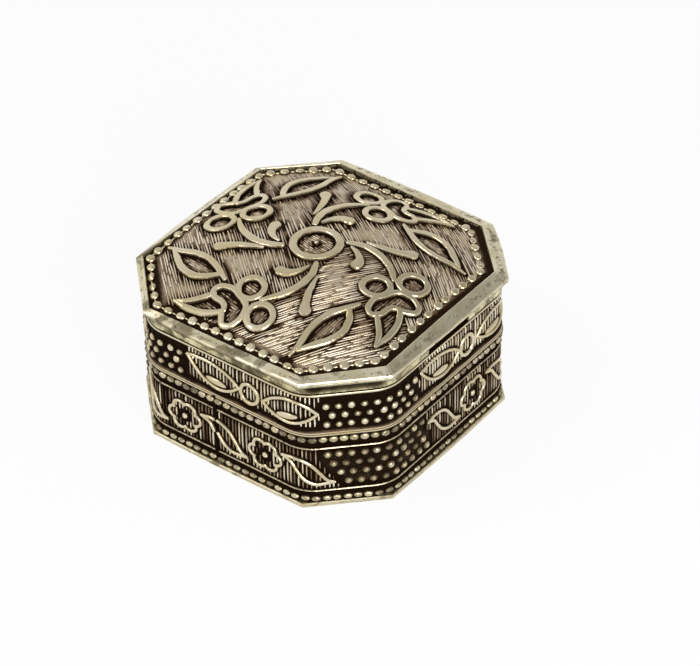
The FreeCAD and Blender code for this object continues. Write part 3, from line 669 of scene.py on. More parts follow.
class Instancer:
    """A Geometry Nodes tree that sets one small shape on every point of a mesh."""

    LENGTHS = ("Length", "Width", "Height")
    SHARES = ("Flatness", "Fullness", "Jitter")
    SEAT_LABELS = ("facing", "along", "span", "wear")
    BURIED = -0.4

    def __init__(self, name: str, segments: int, rings: int) -> None:
        """Build the tree.

        Args:
            name: Name of the tree.
            segments: Sides of the shape.
            rings: Steps from its lowest to its highest point.
        """
        self.tree = bpy.data.node_groups.new(name, "GeometryNodeTree")
        self.tree.is_modifier = True
        face = self.tree.interface
        face.new_socket("Geometry", in_out="INPUT", socket_type="NodeSocketGeometry")
        for label in self.LENGTHS + self.SHARES:
            face.new_socket(label, in_out="INPUT", socket_type="NodeSocketFloat")
        face.new_socket("Seed", in_out="INPUT", socket_type="NodeSocketInt")
        face.new_socket("Material", in_out="INPUT", socket_type="NodeSocketMaterial")
        face.new_socket("Geometry", in_out="OUTPUT", socket_type="NodeSocketGeometry")
        graph = NodeGraph(self.tree)
        given = graph.add("NodeGroupInput").outputs
        shape = self._shape(graph, given, segments, rings)
        placed = self._place(graph, given, shape)
        real = graph.add("GeometryNodeRealizeInstances", None, {"Geometry": placed}).outputs[0]
        worn = self._rub(graph, real, self._named(graph, "crest") * self._named(graph, "wear"))
        dressed = graph.add("GeometryNodeSetMaterial", None,
                            {"Geometry": worn, "Material": given["Material"]}).outputs[0]
        graph.add("NodeGroupOutput", None, {"Geometry": dressed})

    @staticmethod
    def _named(graph: NodeGraph, label: str, kind: str = "FLOAT") -> Signal:
        """Return a named attribute as a signal."""
        node = graph.add("GeometryNodeInputNamedAttribute", {"data_type": kind}, {"Name": label})
        return graph.signal(node, "Attribute")

    @staticmethod
    def _rub(graph: NodeGraph, mesh: Socket, crest: Signal) -> Socket:
        """Store on a mesh how bright its points are rubbed."""
        node = graph.add("GeometryNodeStoreNamedAttribute", {"data_type": "FLOAT", "domain": "POINT"},
                         {"Geometry": mesh, "Name": "crest", "Value": crest})
        return node.outputs[0]

    def _shape(self, graph: NodeGraph, given: Any, segments: int, rings: int) -> Socket:
        """Return a rounded stud of unit size with a flat foot, whose top and ends may be cut flat."""
        ball = graph.add("GeometryNodeMeshUVSphere", None, {"Segments": segments, "Rings": rings,
                                                            "Radius": 1.0})
        x, y, z = graph.axes(graph.add("GeometryNodeInputPosition").outputs[0])
        level = (z * Signal(graph, given["Flatness"])).least(1.0).most(self.BURIED)
        along = (x * Signal(graph, given["Fullness"])).least(1.0).most(-1.0)
        moved = graph.add("ShaderNodeCombineXYZ", None, {"X": along, "Y": y, "Z": level})
        bent = graph.add("GeometryNodeSetPosition", None,
                         {"Geometry": ball.outputs["Mesh"], "Position": moved.outputs[0]})
        rubbed = self._rub(graph, bent.outputs[0], level.most(0.0))
        return graph.add("GeometryNodeSetShadeSmooth", None, {0: rubbed}).outputs[0]

    def _place(self, graph: NodeGraph, given: Any, shape: Socket) -> Socket:
        """Return the shape set on every point, turned along it and scaled to its span and wear."""
        upright = graph.add("FunctionNodeAlignRotationToVector", {"axis": "Z"},
                            {"Vector": self._named(graph, "facing", "FLOAT_VECTOR")}).outputs[0]
        turned = graph.add("FunctionNodeAlignRotationToVector", {"axis": "X", "pivot_axis": "Z"},
                           {"Rotation": upright,
                            "Vector": self._named(graph, "along", "FLOAT_VECTOR")}).outputs[0]
        jitter = Signal(graph, given["Jitter"])
        chance = graph.add("FunctionNodeRandomValue", {"data_type": "FLOAT"},
                           {2: 1.0 - jitter, 3: 1.0 + jitter, "Seed": given["Seed"]})
        vary = graph.signal(chance, 1)
        broad = self._named(graph, "wear") * 0.5 + 0.5
        half = graph.add("ShaderNodeCombineXYZ", None,
                         {"X": Signal(graph, given["Length"]) * self._named(graph, "span") * 0.5,
                          "Y": Signal(graph, given["Width"]) * vary * broad * 0.5,
                          "Z": Signal(graph, given["Height"]) * vary})
        return graph.add("GeometryNodeInstanceOnPoints", None,
                         {"Points": given["Geometry"], "Instance": shape, "Rotation": turned,
                          "Scale": half.outputs[0]}).outputs[0]

    def set_on(self, name: str, seats: "Seats", sizes: dict[str, float], seed: int, body: Body,
               material: Finish) -> None:
        """Set the shape on every seat and finish the result as one piece of relief.

        Args:
            name: Name of the piece.
            seats: Where the shapes go.
            sizes: Length, Width, Height, Flatness, Fullness and Jitter, with lengths in millimetres.
            seed: Seed of the random sizes.
            body: Body that the piece rides on.
            material: Finish of the shapes.
        """
        carrier = seats.carrier(f"{name}_seats")
        modifier = carrier.modifiers.new(name, "NODES")
        modifier.node_group = self.tree
        values: dict[str, Any] = {"Seed": seed, "Material": material, "Fullness": 1.0}
        for label, size in sizes.items():
            values[label] = size * MM if label in self.LENGTHS else size
        for item in self.tree.interface.items_tree:
            if item.in_out == "INPUT" and item.name in values:
                modifier[item.identifier] = values[item.name]
        graph = bpy.context.evaluated_depsgraph_get()
        mesh = bpy.data.meshes.new_from_object(carrier.evaluated_get(graph), depsgraph=graph)
        mesh.name = name
        for label in self.SEAT_LABELS:
            if label in mesh.attributes:
                mesh.attributes.remove(mesh.attributes[label])
        piece = new_object(name, mesh)
        carrier.modifiers.clear()
        bpy.data.objects.remove(carrier)
        finish_piece(piece, body, material)


class Seats:
    """Places for small repeated shapes: where, which way up, along what and how long."""

    def __init__(self) -> None:
        """Start with no places."""
        self.places: list[Grid] = []
        self.facing: list[Grid] = []
        self.along: list[Grid] = []
        self.span: list[float] = []
        self.wear: list[float] = []

    def add(self, place: Grid, facing: Grid, along: Grid, span: float = 1.0,
            wear: float = 1.0) -> None:
        """Add a place.

        Args:
            place: Point in millimetres.
            facing: Direction of the shape's top.
            along: Direction of the shape's length.
            span: Factor on the shape's length.
            wear: How bright and broad the shape is rubbed, from 0 to 1.
        """
        self.places.append(np.asarray(place, float))
        self.facing.append(np.asarray(facing, float))
        self.along.append(np.asarray(along, float))
        self.span.append(span)
        self.wear.append(wear)

    def carrier(self, name: str) -> Piece:
        """Return a mesh object with one loose point for each place."""
        carrier = mesh_object(name, np.array(self.places), [])
        for label, rows in (("facing", self.facing), ("along", self.along)):
            put_attribute(carrier.data, label, rows, "FLOAT_VECTOR")
        for label, values in (("span", self.span), ("wear", self.wear)):
            put_attribute(carrier.data, label, values)
        return carrier


# Finishes


@dataclass(frozen=True)
class AgedSilver:
    """White metal with dark patina where it lies low and rubbed bright where it stands up, and painted
    shade where a shade is set.
    """

    name: str
    bright: Colour = (0.69, 0.605, 0.43)
    warm: Colour = (0.61, 0.52, 0.315)
    # brown and soot are the dark tones of patina in hollows, and also of painted shade where a shade is set
    brown: Colour = (0.19, 0.128, 0.077)
    soot: Colour = (0.0085, 0.0038, 0.0012)
    polish: float = 0.25
    dullness: float = 0.6
    rub_low: float = 0.10
    rub_high: float = 0.70
    patchiness: float = 0.35
    flecks: float = 0.3
    relief: bool = True
    tarnish: float = 0.35
    bump: float = 0.12
    # shade: painted shade from the first level to the second, in millimetres, leaving the third as the bare
    # share
    shade: tuple[float, float, float] | None = None
    # niche: half length and reach that keep the painted shade to the thumb notch
    niche: tuple[float, float] | None = None
    # corner: reach of -X-Y beyond which the painted shade is deeper, on the front cut corner
    corner: float | None = None

    HALF_BARE = 0.45
    BLOTCHES = 260.0
    GRAINS = 2600.0
    PITS = 5200.0
    CLOUDS = 420.0
    SPOTS = 1500.0
    STAINS = 190.0
    PIT_DEPTH = 0.05
    DIRT_GLOSS = 0.02
    UNEVEN_GLOSS = 0.16
    FOOT_SOOT = 0.75
    EDGE_RUB = 0.4
    SPOT_DEPTH = 0.6
    STAIN_DEPTH = 0.6
    STAIN_FROM = 4.0
    STAIN_FULL = 16.0
    # Share of deeper painted shade on the front cut corner
    CORNER_SHADE = 0.85

    def material(self) -> Finish:
        """Return the finish as a material."""
        made = bpy.data.materials.new(self.name)
        graph = NodeGraph.fresh(made)
        place = graph.add("ShaderNodeTexCoord").outputs["Object"]
        blotch = graph.noise(place, self.BLOTCHES, 4.0, 0.6)
        grain = graph.noise(place, self.GRAINS, 3.0)
        pits = graph.noise(place, self.PITS, 2.0)
        if self.relief:
            rubbed = self._rubbed(graph, blotch, grain)
        else:
            rubbed = self._tarnished(graph, place, blotch, grain)
        # Painted shade darkens the metal above the shade's level
        if self.shade is not None:
            rubbed = rubbed * self._lit(graph, place)
        metal = graph.blend(graph.ramp(blotch + (grain - 0.5) * 0.25, 0.38, 0.66),
                            (*self.bright, 1.0), (*self.warm, 1.0))
        dirt_and_shade = graph.blend(graph.ramp(rubbed, 0.0, self.HALF_BARE), (*self.soot, 1.0), (*self.brown, 1.0))
        colour = graph.blend(graph.ramp(rubbed, self.HALF_BARE, 1.0), dirt_and_shade, metal)
        gloss = (grain - 0.5) * self.UNEVEN_GLOSS
        rough = self.dullness - rubbed * (self.dullness - self.polish) + gloss
        relief = graph.add("ShaderNodeBump", None, {"Strength": self.bump, "Height": pits + grain * 0.6,
                                                    "Distance": self.PIT_DEPTH * MM})
        shader = graph.add("ShaderNodeBsdfPrincipled", None,
                           {"Base Color": colour, "Roughness": rough, "Normal": relief.outputs[0],
                            "Metallic": graph.ramp(rubbed, 0.1, 0.8),
                            "Specular IOR Level": self.DIRT_GLOSS})
        graph.add("ShaderNodeOutputMaterial", None, {"Surface": shader.outputs[0]})
        return made

    def _lit(self, graph: NodeGraph, place: Any) -> Signal:
        """Return 1 where no shade is painted, and less above the shade's level, where shade is painted.

        A niche keeps the painted shade to the thumb notch. A corner paints the shade deeper on the front
        cut corner.

        Args:
            graph: The material's tree.
            place: Socket with the coordinates.

        Returns:
            A factor of painted shade on how bare the metal is.
        """
        low, high, least = self.shade
        x, y, z = graph.axes(place)
        # Painted shade above the shade's level
        painted_shade = graph.ramp(z, low * MM, high * MM)
        if self.niche is not None:
            # The painted shade is kept to the wall's outer face behind the thumb notch
            half, reach = self.niche
            edge = (half * MM) ** 2
            painted_shade = painted_shade * (1.0 - graph.ramp(x * x, 0.9 * edge, 1.1 * edge))
            painted_shade = painted_shade * graph.ramp(0.0 - y, (reach - 0.15) * MM, (reach - 0.05) * MM)
        lit = 1.0 - painted_shade * (1.0 - least)
        if self.corner is not None:
            # Deeper painted shade on the front cut corner, reaching lower down as well
            facet = graph.ramp(0.0 - x - y, (self.corner - 0.5) * MM, self.corner * MM)
            lit = lit * (1.0 - facet * graph.ramp(z, (low - 0.6) * MM, low * MM) * self.CORNER_SHADE)
        return lit

    def _rubbed(self, graph: NodeGraph, blotch: Signal, grain: Signal) -> Signal:
        """Return how bare ornament is, from 0 under soot to 1 where it is rubbed bright."""
        patch = (blotch - 0.5) * self.patchiness + (grain - 0.5) * self.flecks
        crest, foot = graph.attribute("crest"), graph.attribute("foot")
        bare = crest - foot * (1.0 - crest) * self.FOOT_SOOT + patch * 0.5
        return graph.ramp(bare, self.rub_low, self.rub_high)

    def _tarnished(self, graph: NodeGraph, place: Any, blotch: Signal, grain: Signal) -> Signal:
        """Return how bare plain metal is, with clouds of tarnish, dark pits and stains on the left."""
        cloud = graph.noise(place, self.CLOUDS, 5.0, 1.2)
        patch = (blotch - 0.5) * self.patchiness + cloud - 0.5 + (grain - 0.5) * self.flecks
        edge = graph.attribute("crest") * self.EDGE_RUB
        bare = graph.ramp(patch + edge + 0.5, 0.2 - self.tarnish, 0.85 - self.tarnish)
        pitted = graph.ramp(graph.noise(place, self.SPOTS, 2.0), 0.26, 0.35)
        clean = graph.ramp(graph.noise(place, self.STAINS, 4.0, 1.0), 0.36, 0.5)
        left = 0.0 - graph.axes(place)[0]
        stained = graph.ramp(left, self.STAIN_FROM * MM, self.STAIN_FULL * MM) * (1.0 - clean)
        spotted = pitted * self.SPOT_DEPTH + (1.0 - self.SPOT_DEPTH)
        return bare * spotted * (1.0 - stained * self.STAIN_DEPTH)


@dataclass(frozen=True)
class Finishes:
    """Every finish of the box, made once."""

    lid_ground: Finish
    lid_strokes: Finish
    ornament: Finish
    dots: Finish
    strip_ground: Finish
    strokes: Finish
    plain: Finish
    base: Finish
    flange: Finish
    lining: Finish
    underside: Finish
    hinge: Finish
    pin: Finish

    @classmethod
    def make(cls) -> "Finishes":
        """Make the materials."""
        wall, skirt = reach_of("inner_wall"), 1.6 * reach_of("lid_flange")
        taupe, umber, earth = (0.62, 0.525, 0.40), (0.52, 0.42, 0.285), (0.018, 0.0088, 0.0034)
        dull = {"bright": (0.52, 0.48, 0.35), "warm": (0.45, 0.40, 0.26), "brown": (0.24, 0.205, 0.13),
                "relief": False, "tarnish": 0.2, "polish": 0.4}
        looks = {
            "lid_ground": AgedSilver("aged_lid_ground", bright=taupe, warm=umber, soot=earth, rub_low=-0.05,
                                     rub_high=0.8, patchiness=0.9, flecks=0.7, polish=0.4),
            "lid_strokes": AgedSilver("aged_lid_strokes", bright=(0.84, 0.745, 0.58),
                                      warm=(0.70, 0.58, 0.41), soot=earth, rub_low=0.05, rub_high=0.85,
                                      polish=0.32),
            "ornament": AgedSilver("rubbed_ornament", brown=(0.155, 0.12, 0.07), patchiness=0.6,
                                   flecks=0.9),
            "dots": AgedSilver("dusty_dots", brown=(0.20, 0.155, 0.09), soot=(0.026, 0.0165, 0.0085),
                               rub_low=0.04, patchiness=0.6, flecks=0.9),
            "strip_ground": AgedSilver("aged_strip_ground"),
            "strokes": AgedSilver("aged_strip_strokes", bright=(0.84, 0.78, 0.60), warm=(0.68, 0.60, 0.40),
                                  rub_low=0.12, rub_high=0.85),
            "plain": AgedSilver("worn_plain_silver", bright=(0.82, 0.75, 0.55), warm=(0.66, 0.58, 0.38),
                                brown=(0.27, 0.23, 0.145), relief=False, tarnish=0.17, flecks=0.8,
                                polish=0.28),
            "base": AgedSilver("worn_base_silver", bright=(0.66, 0.60, 0.42), warm=(0.56, 0.49, 0.31),
                               brown=(0.25, 0.205, 0.12), relief=False, tarnish=0.26, polish=0.32),
            # The flange's top is painted with shade under the rim's overhang, deepest on the front cut
            # corner
            "flange": AgedSilver("shaded_flange_silver", bright=(0.80, 0.73, 0.47), warm=(0.68, 0.60, 0.33),
                                 brown=(0.18, 0.15, 0.08), relief=False, tarnish=0.14, polish=0.3,
                                 shade=(18.1, 18.7, 0.3), corner=skirt),
            # The lining's top behind the thumb notch is painted with shade
            "lining": AgedSilver("dull_lining", shade=(16.9, 17.4, 0.05), niche=(4.4, wall), **dull),
            "underside": AgedSilver("dull_lid_underside", **dull),
            "hinge": AgedSilver("dark_hinge_silver", brown=(0.21, 0.175, 0.11), relief=False, tarnish=0.12,
                                polish=0.34),
            "pin": AgedSilver("drawn_pin_wire", bright=(0.56, 0.55, 0.53), warm=(0.42, 0.41, 0.39),
                              relief=False, tarnish=0.12, polish=0.3)}
        return cls(**{label: look.material() for label, look in looks.items()})


# The lid


@dataclass
class LidForm:
    """Shape of the lid's pressed sheet, without its ornament."""

    reach: float
    half_side: float
    edge_level: float
    apex: float = 3.8
    dome_spread: float = 1.07
    corner_power: int = 10
    border_lift: float = 0.65
    border_swing: float = 0.4
    border_inset: float = 2.3
    border_end: float = 1.03
    channel_inset: float = 1.75
    channel_depth: float = 0.22
    channel_slope: float = 0.4
    shift: Pair = (-0.4, 0.5)

    def inset(self, x: Grid, y: Grid) -> Grid:
        """Return how far points lie in from the lid's edge."""
        short = (self.reach + self.half_side) / DIAGONAL
        slanted = np.maximum(np.abs(x + y), np.abs(x - y)) / DIAGONAL
        return np.minimum(self.reach - np.maximum(np.abs(x), np.abs(y)), short - slanted)

    def _gauge(self, x: Grid, y: Grid) -> Grid:
        """Return 0 at the dome's middle and 1 on the bead border, round inside and octagonal outside."""
        side = self.reach - self.border_inset
        short = (self.reach + self.half_side) / DIAGONAL - self.border_inset
        terms = (x / side, y / side, (x + y) / DIAGONAL / short, (x - y) / DIAGONAL / short)
        octagonal = sum(np.abs(term) ** self.corner_power for term in terms) ** (1.0 / self.corner_power)
        rounded = np.hypot(x, y) / (self.dome_spread * side)
        share = soft_step((octagonal - 0.5) / 0.5)
        return np.sqrt((1.0 - share) * rounded ** 2 + share * octagonal ** 2)

    def swing(self, x: Grid, y: Grid) -> Grid:
        """Return -1 towards X and 1 towards Y."""
        square = x * x + y * y + TINY
        return (y * y - x * x) / square

    def ground(self, x: Grid, y: Grid) -> Grid:
        """Return the level of the sheet's top."""
        px, py = x - self.shift[0], y - self.shift[1]
        gauge = np.minimum(self._gauge(px, py), self.border_end)
        border = self.border_lift + self.border_swing * self.swing(px, py)
        lift = self.apex * (1.0 - gauge ** 2) + border * gauge ** 2
        dip = self.channel_depth * soft_step((self.channel_inset - self.inset(x, y)) / self.channel_slope)
        return self.edge_level + lift - dip

    def level(self, x: float, y: float) -> float:
        """Return the level of the sheet's top at one point."""
        return float(self.ground(np.array([x]), np.array([y]))[0])

    def normal(self, x: float, y: float) -> Grid:
        """Return the upward normal of the sheet's top at one point."""
        step = 0.05
        xs, ys = np.array([x + step, x - step, x, x]), np.array([y, y, y + step, y - step])
        east, west, north, south = self.ground(xs, ys)
        normal = np.array([west - east, south - north, 2.0 * step])
        return normal / np.linalg.norm(normal)


@dataclass
class LidOrnament:
    """The pinwheel of four flowers round a ring, as lines of the flat pattern about its own middle."""

    ribbon: float = 0.8
    middle: Pair = (0.1, -0.1)
    ring_radius: float = 2.9
    ring_width: float = 1.0
    seed_radius: float = 0.14
    seed_width: float = 0.24

    def loops(self) -> list[Line]:
        """Return the closed petals of one flower."""
        joined_petals = [(-1.1, -12.75), (-2.3, -12.3), (-3.6, -11.75), (-5.1, -12.0), (-5.7, -12.95),
                         (-4.9, -13.75), (-3.6, -13.95), (-2.85, -14.5), (-2.5, -15.5), (-1.6, -16.55),
                         (-0.5, -16.2), (-0.02, -14.9), (-0.3, -13.5)]
        return [oval((-1.65, -10.65), (1.74, 1.6), self.ribbon, tilt=-35.0),
                oval((1.95, -13.6), (1.75, 1.62), self.ribbon, tilt=-40.0),
                smooth_line([(x, y, self.ribbon * 0.92) for x, y in joined_petals], closed=True)]

    def leaf(self) -> tuple[Line, Line]:
        """Return the two edges of the leaf beside one flower."""
        upper = [(-16.4, -8.7, 0.35), (-14.4, -8.75, 0.75), (-12.2, -8.5, 0.85), (-10.2, -8.65, 0.85),
                 (-8.3, -9.35, 0.85), (-6.8, -10.2, 0.75), (-5.5, -10.95, 0.45)]
        lower = [(-15.3, -9.05, 0.45), (-13.9, -10.1, 0.8), (-12.3, -11.25, 0.9), (-10.4, -11.9, 0.9),
                 (-8.9, -11.75, 0.9), (-7.6, -11.1, 0.8), (-6.6, -10.35, 0.6)]
        return smooth_line(upper), smooth_line(lower)

    def bud(self) -> tuple[Line, Line]:
        """Return the two edges of the pointed bud of one flower."""
        upper = [(-5.3, -13.4, 0.7), (-6.3, -14.4, 0.75), (-7.7, -15.55, 0.7), (-9.3, -16.25, 0.4)]
        lower = [(-9.3, -16.25, 0.4), (-7.2, -16.45, 0.75), (-5.1, -16.25, 0.8), (-3.5, -15.6, 0.75),
                 (-2.6, -14.9, 0.6)]
        return smooth_line(upper), smooth_line(lower)

    def sprays(self) -> list[Line]:
        """Return one flower's stem, its short comma and its long comma."""
        stem = [(2.6, -3.2, 0.7), (3.3, -5.0, 0.95), (3.35, -6.9, 1.0), (2.75, -8.9, 0.95),
                (1.8, -10.4, 0.8), (0.7, -11.6, 0.6)]
        short_comma = [(-0.3, -6.55, 1.45), (0.45, -6.45, 1.25), (1.2, -5.9, 0.95), (1.75, -5.1, 0.7),
                       (2.1, -4.1, 0.35)]
        long_comma = [(4.15, -5.0, 0.35), (4.5, -6.4, 0.7), (5.0, -7.9, 0.9), (5.6, -9.2, 1.05),
                      (6.3, -10.2, 1.55)]
        return [smooth_line(line) for line in (stem, short_comma, long_comma)]

    def ring(self) -> Line:
        """Return the ring in the middle."""
        return oval(self.middle, (self.ring_radius, self.ring_radius), self.ring_width)

    def press(self, relief: Relief, ribbons: Ribbons | None = None) -> None:
        """Lay the whole ornament on a sheet.

        Args:
            relief: Where the ornament is traced.
            ribbons: Where its ribbons are swept, if they are wanted.
        """
        leaf, bud = self.leaf(), self.bud()
        for turns in range(4):
            for closed, lines in ((True, self.loops()), (False, self.sprays() + list(leaf) + list(bud))):
                for line in lines:
                    self._lay(quarter_turns(line, turns), closed, relief, ribbons)
        self._lay(self.ring(), True, relief, ribbons)
        seed = oval(self.middle, (self.seed_radius, self.seed_radius), self.seed_width)
        self._lay(seed, True, relief, ribbons)
        for turns in range(4):
            for loop in self.loops():
                relief.mark(quarter_turns(loop, turns), Cover.INNER)
            for upper, lower in (leaf, bud):
                closed_line = np.vstack([upper, lower[::-1]] if upper is leaf[0] else [upper, lower])
                relief.mark(quarter_turns(closed_line, turns), Cover.INNER)
        relief.mark(self.ring(), Cover.INNER)

    @staticmethod
    def _lay(line: Line, closed: bool, relief: Relief, ribbons: Ribbons | None) -> None:
        """Trace a line and sweep its ribbon."""
        relief.trace(line)
        if ribbons is not None:
            ribbons.add(line, closed)


class Lid:
    """The lid: pressed sheet with its ornament, sloping rim and bead border."""

    CELLS = 240
    RISE = 0.44
    GROOVE = 0.1
    GAUGE = 0.5
    DOME_INSET = 2.6
    UNDER_RINGS = 10
    UNDER_SHARE = 4
    UNDER_RUBBED = 0.9
    SHEET_INSET = 0.06
    RIM_SEAT = 0.9
    LEAST_WEAR = 0.04
    OPEN_WEAR = 0.44
    BACK_WEAR = 0.2
    CALM_WEAR = 0.34
    CALM = ((-10.3, 8.0, 3.4), (6.0, -4.8, 3.4), (-3.9, -5.0, 2.6), (9.5, -11.0, 2.6))
    RIM_STEPS = (12, 28)
    RIM_WIDTH = 1.24
    RIM_WIDTH_SWING = 0.13
    RIM_WIDTH_LEAN = 0.4
    RIM_RISE = 0.8
    RIM_RISE_SWING = 0.3
    RIM_UNEVEN = 0.012
    RIM_SHARP = 28.0
    RIM_RUBBED = (0.0, 0.4, 0.9, 0.5, 0.0, 1.0, 1.0, -0.5, -1.0, 0.0)
    SIDE_BOW = 0.28
    CORNER_BOW = 0.24
    BORDER_CORNER = 0.6
    BORDER_SHIFT = 0.8
    BORDER_INSETS = (-0.2, 0.0, 0.5, -0.2, 0.2, 0.0, 0.26, 0.5, -0.2)
    BEAD_PITCH = 1.82
    BEAD_DRIFT = 0.07
    BEAD_WEAR = (0.58, 0.84)
    BEAD = {"Length": 1.34, "Width": 1.46, "Height": 0.42, "Flatness": 1.6, "Jitter": 0.08}
    LINK = {"Length": 0.8, "Width": 0.26, "Height": 0.2, "Flatness": 1.3, "Jitter": 0.1}
    STROKE = {"Length": 1.0, "Width": 0.26, "Height": 0.1, "Flatness": 1.42, "Fullness": 1.25,
              "Jitter": 0.2}
    SUNK = 0.02
    HATCH_CELL = 0.1
    HATCH_PITCH = 0.34
    HATCH_LIMIT = 2.85
    HATCH_DRIFT = 0.035
    FRONT_ANGLE = -34.0
    LEFT_ANGLE = 49.0
    RIGHT_ANGLE = 56.0
    PETAL_TURN = 30.0
    GROUND_LENGTHS = (1.6, 5.5)
    PETAL_LENGTHS = (0.6, 1.5)
    CALM_CHANCE = (0.45, 1.5)
    STROKE_SHINE = (0.7, 1.1)
    STROKE_LAP = 1.03
    SHORTEST = 3

    def __init__(self, finishes: Finishes, studs: Instancer, strokes: Instancer) -> None:
        """Read the lid's sizes from the frame.

        Args:
            finishes: The box's finishes.
            studs: Tree that sets beads.
            strokes: Tree that sets hatching strokes.
        """
        reach = reach_of("lid_rim")
        self.plate_foot, edge_level = (float(node_box(node)[0][2]) for node in ("lid_plate", "lid_rim"))
        self.form = LidForm(reach=reach, half_side=half_side_at(reach), edge_level=edge_level)
        self.ornament = LidOrnament()
        self.finishes = finishes
        self.studs = studs
        self.strokes = strokes
        self.random = np.random.default_rng(11)

    def build(self) -> None:
        """Build and dress every piece of the lid."""
        looks = self.finishes
        ribbons = Ribbons(self._lift, self.RISE, seed=29)
        finish_piece(self._sheet(ribbons), Body.LID, looks.lid_ground, ["lid_plate"])
        finish_piece(ribbons.piece("lid_ornament"), Body.LID, looks.ornament)
        finish_piece(self._rim(), Body.LID, looks.plain, ["lid_rim"])
        beads, links = self._border()
        self.studs.set_on("lid_bead_border", beads, self.BEAD, 3, Body.LID, looks.ornament)
        self.strokes.set_on("lid_bead_links", links, self.LINK, 4, Body.LID, looks.ornament)
        self.strokes.set_on("lid_hatching", self._hatching(), self.STROKE, 5, Body.LID, looks.lid_strokes)

    def _lift(self, u: Grid, v: Grid, height: Grid) -> Grid:
        """Return points over the sheet from places of the ornament and heights."""
        x, y = u + self.form.shift[0], v + self.form.shift[1]
        return np.stack([x, y, self.form.ground(x, y) + height], axis=-1)

    def _back(self, x: Grid, y: Grid) -> Grid:
        """Return how far points lie in the back part whose ground is nearly smooth, from 0 to 1."""
        return soft_step((x * 0.79 + y * 0.61 - 4.0) / 5.0)

    def _calm(self, x: Grid, y: Grid, gap: Grid) -> Grid:
        """Return how smooth points are rubbed, 1 in a calm patch and 0 close to the ornament."""
        patch = sum(np.exp(-((x - u) ** 2 + (y - v) ** 2) / size ** 2) for u, v, size in self.CALM)
        return np.clip(patch, 0.0, 1.0) * soft_step((gap - 0.3) / 0.9)

    def _grid(self) -> tuple[Grid, Grid]:
        """Return the coordinates of a square grid that is drawn in to the octagon."""
        form = self.form
        share = np.linspace(-1.0, 1.0, self.CELLS + 1)
        u, v = np.meshgrid(share, share, indexing="ij")
        largest = np.maximum(np.abs(u), np.abs(v))
        slanted = (np.abs(u) + np.abs(v)) * form.reach / (form.reach + form.half_side)
        stretch = largest / np.maximum(np.maximum(largest, slanted), TINY)
        room = (form.reach - self.SHEET_INSET) * stretch
        return u * room, v * room

    def _ground_wear(self, relief: Relief, x: Grid, y: Grid) -> Grid:
        """Return how bright the ground is rubbed, least close to the ornament and under the border.

        Args:
            relief: Where the ornament lies.
            x: First coordinates of the sheet's points.
            y: Second coordinates of the sheet's points.

        Returns:
            Values from 0 to 1.
        """
        gap = relief.gap.reshape(x.shape)
        inner = relief.cover.reshape(x.shape) == int(Cover.INNER)
        open_ground = soft_step((gap - 0.15) / np.where(inner, 0.7, 1.8))
        wear = (self.LEAST_WEAR + self.OPEN_WEAR * open_ground + self.BACK_WEAR * self._back(x, y)
                + self.CALM_WEAR * self._calm(x, y, gap))
        return wear * soft_step((self.form.inset(x, y) - 2.2) / 0.8)

    def _sheet(self, ribbons: Ribbons) -> Piece:
        """Return the pressed sheet as a closed shell.

        Args:
            ribbons: Where the ornament's ribbons are swept.

        Returns:
            The sheet without the ribbons.
        """
        form, count = self.form, self.CELLS + 1
        x, y = self._grid()
        relief = Relief(x - form.shift[0], y - form.shift[1])
        self.ornament.press(relief, ribbons)
        height, crest, foot = relief.surface(self.GROOVE)
        crest = np.maximum(crest, self._ground_wear(relief, x, y))
        level = np.where(form.inset(x, y) < self.RIM_SEAT, form.edge_level, form.ground(x, y) + height)
        top = np.stack([x, y, level], axis=-1).reshape(-1, 3)
        index = np.arange(count * count).reshape(count, count)
        faces = np.stack([index[:-1, :-1], index[1:, :-1], index[1:, 1:], index[:-1, 1:]], axis=-1)
        edge = np.concatenate([index[:-1, 0], index[-1, :-1], index[:0:-1, -1], index[0, :0:-1]])
        points, under_faces = self._underside(top, edge)
        below = len(points) - len(top)
        crest = np.concatenate([crest.ravel(), np.full(below, self.UNDER_RUBBED)])
        foot = np.concatenate([foot.ravel(), np.zeros(below)])
        top_faces = faces.reshape(-1, 4).tolist()
        piece = mesh_object("lid_relief_sheet", points, top_faces + under_faces, crest, foot)
        for finish in (self.finishes.lid_ground, self.finishes.underside):
            piece.data.materials.append(finish)
        sides = [0] * len(top_faces) + [1] * len(under_faces)
        piece.data.polygons.foreach_set("material_index", sides)
        return piece

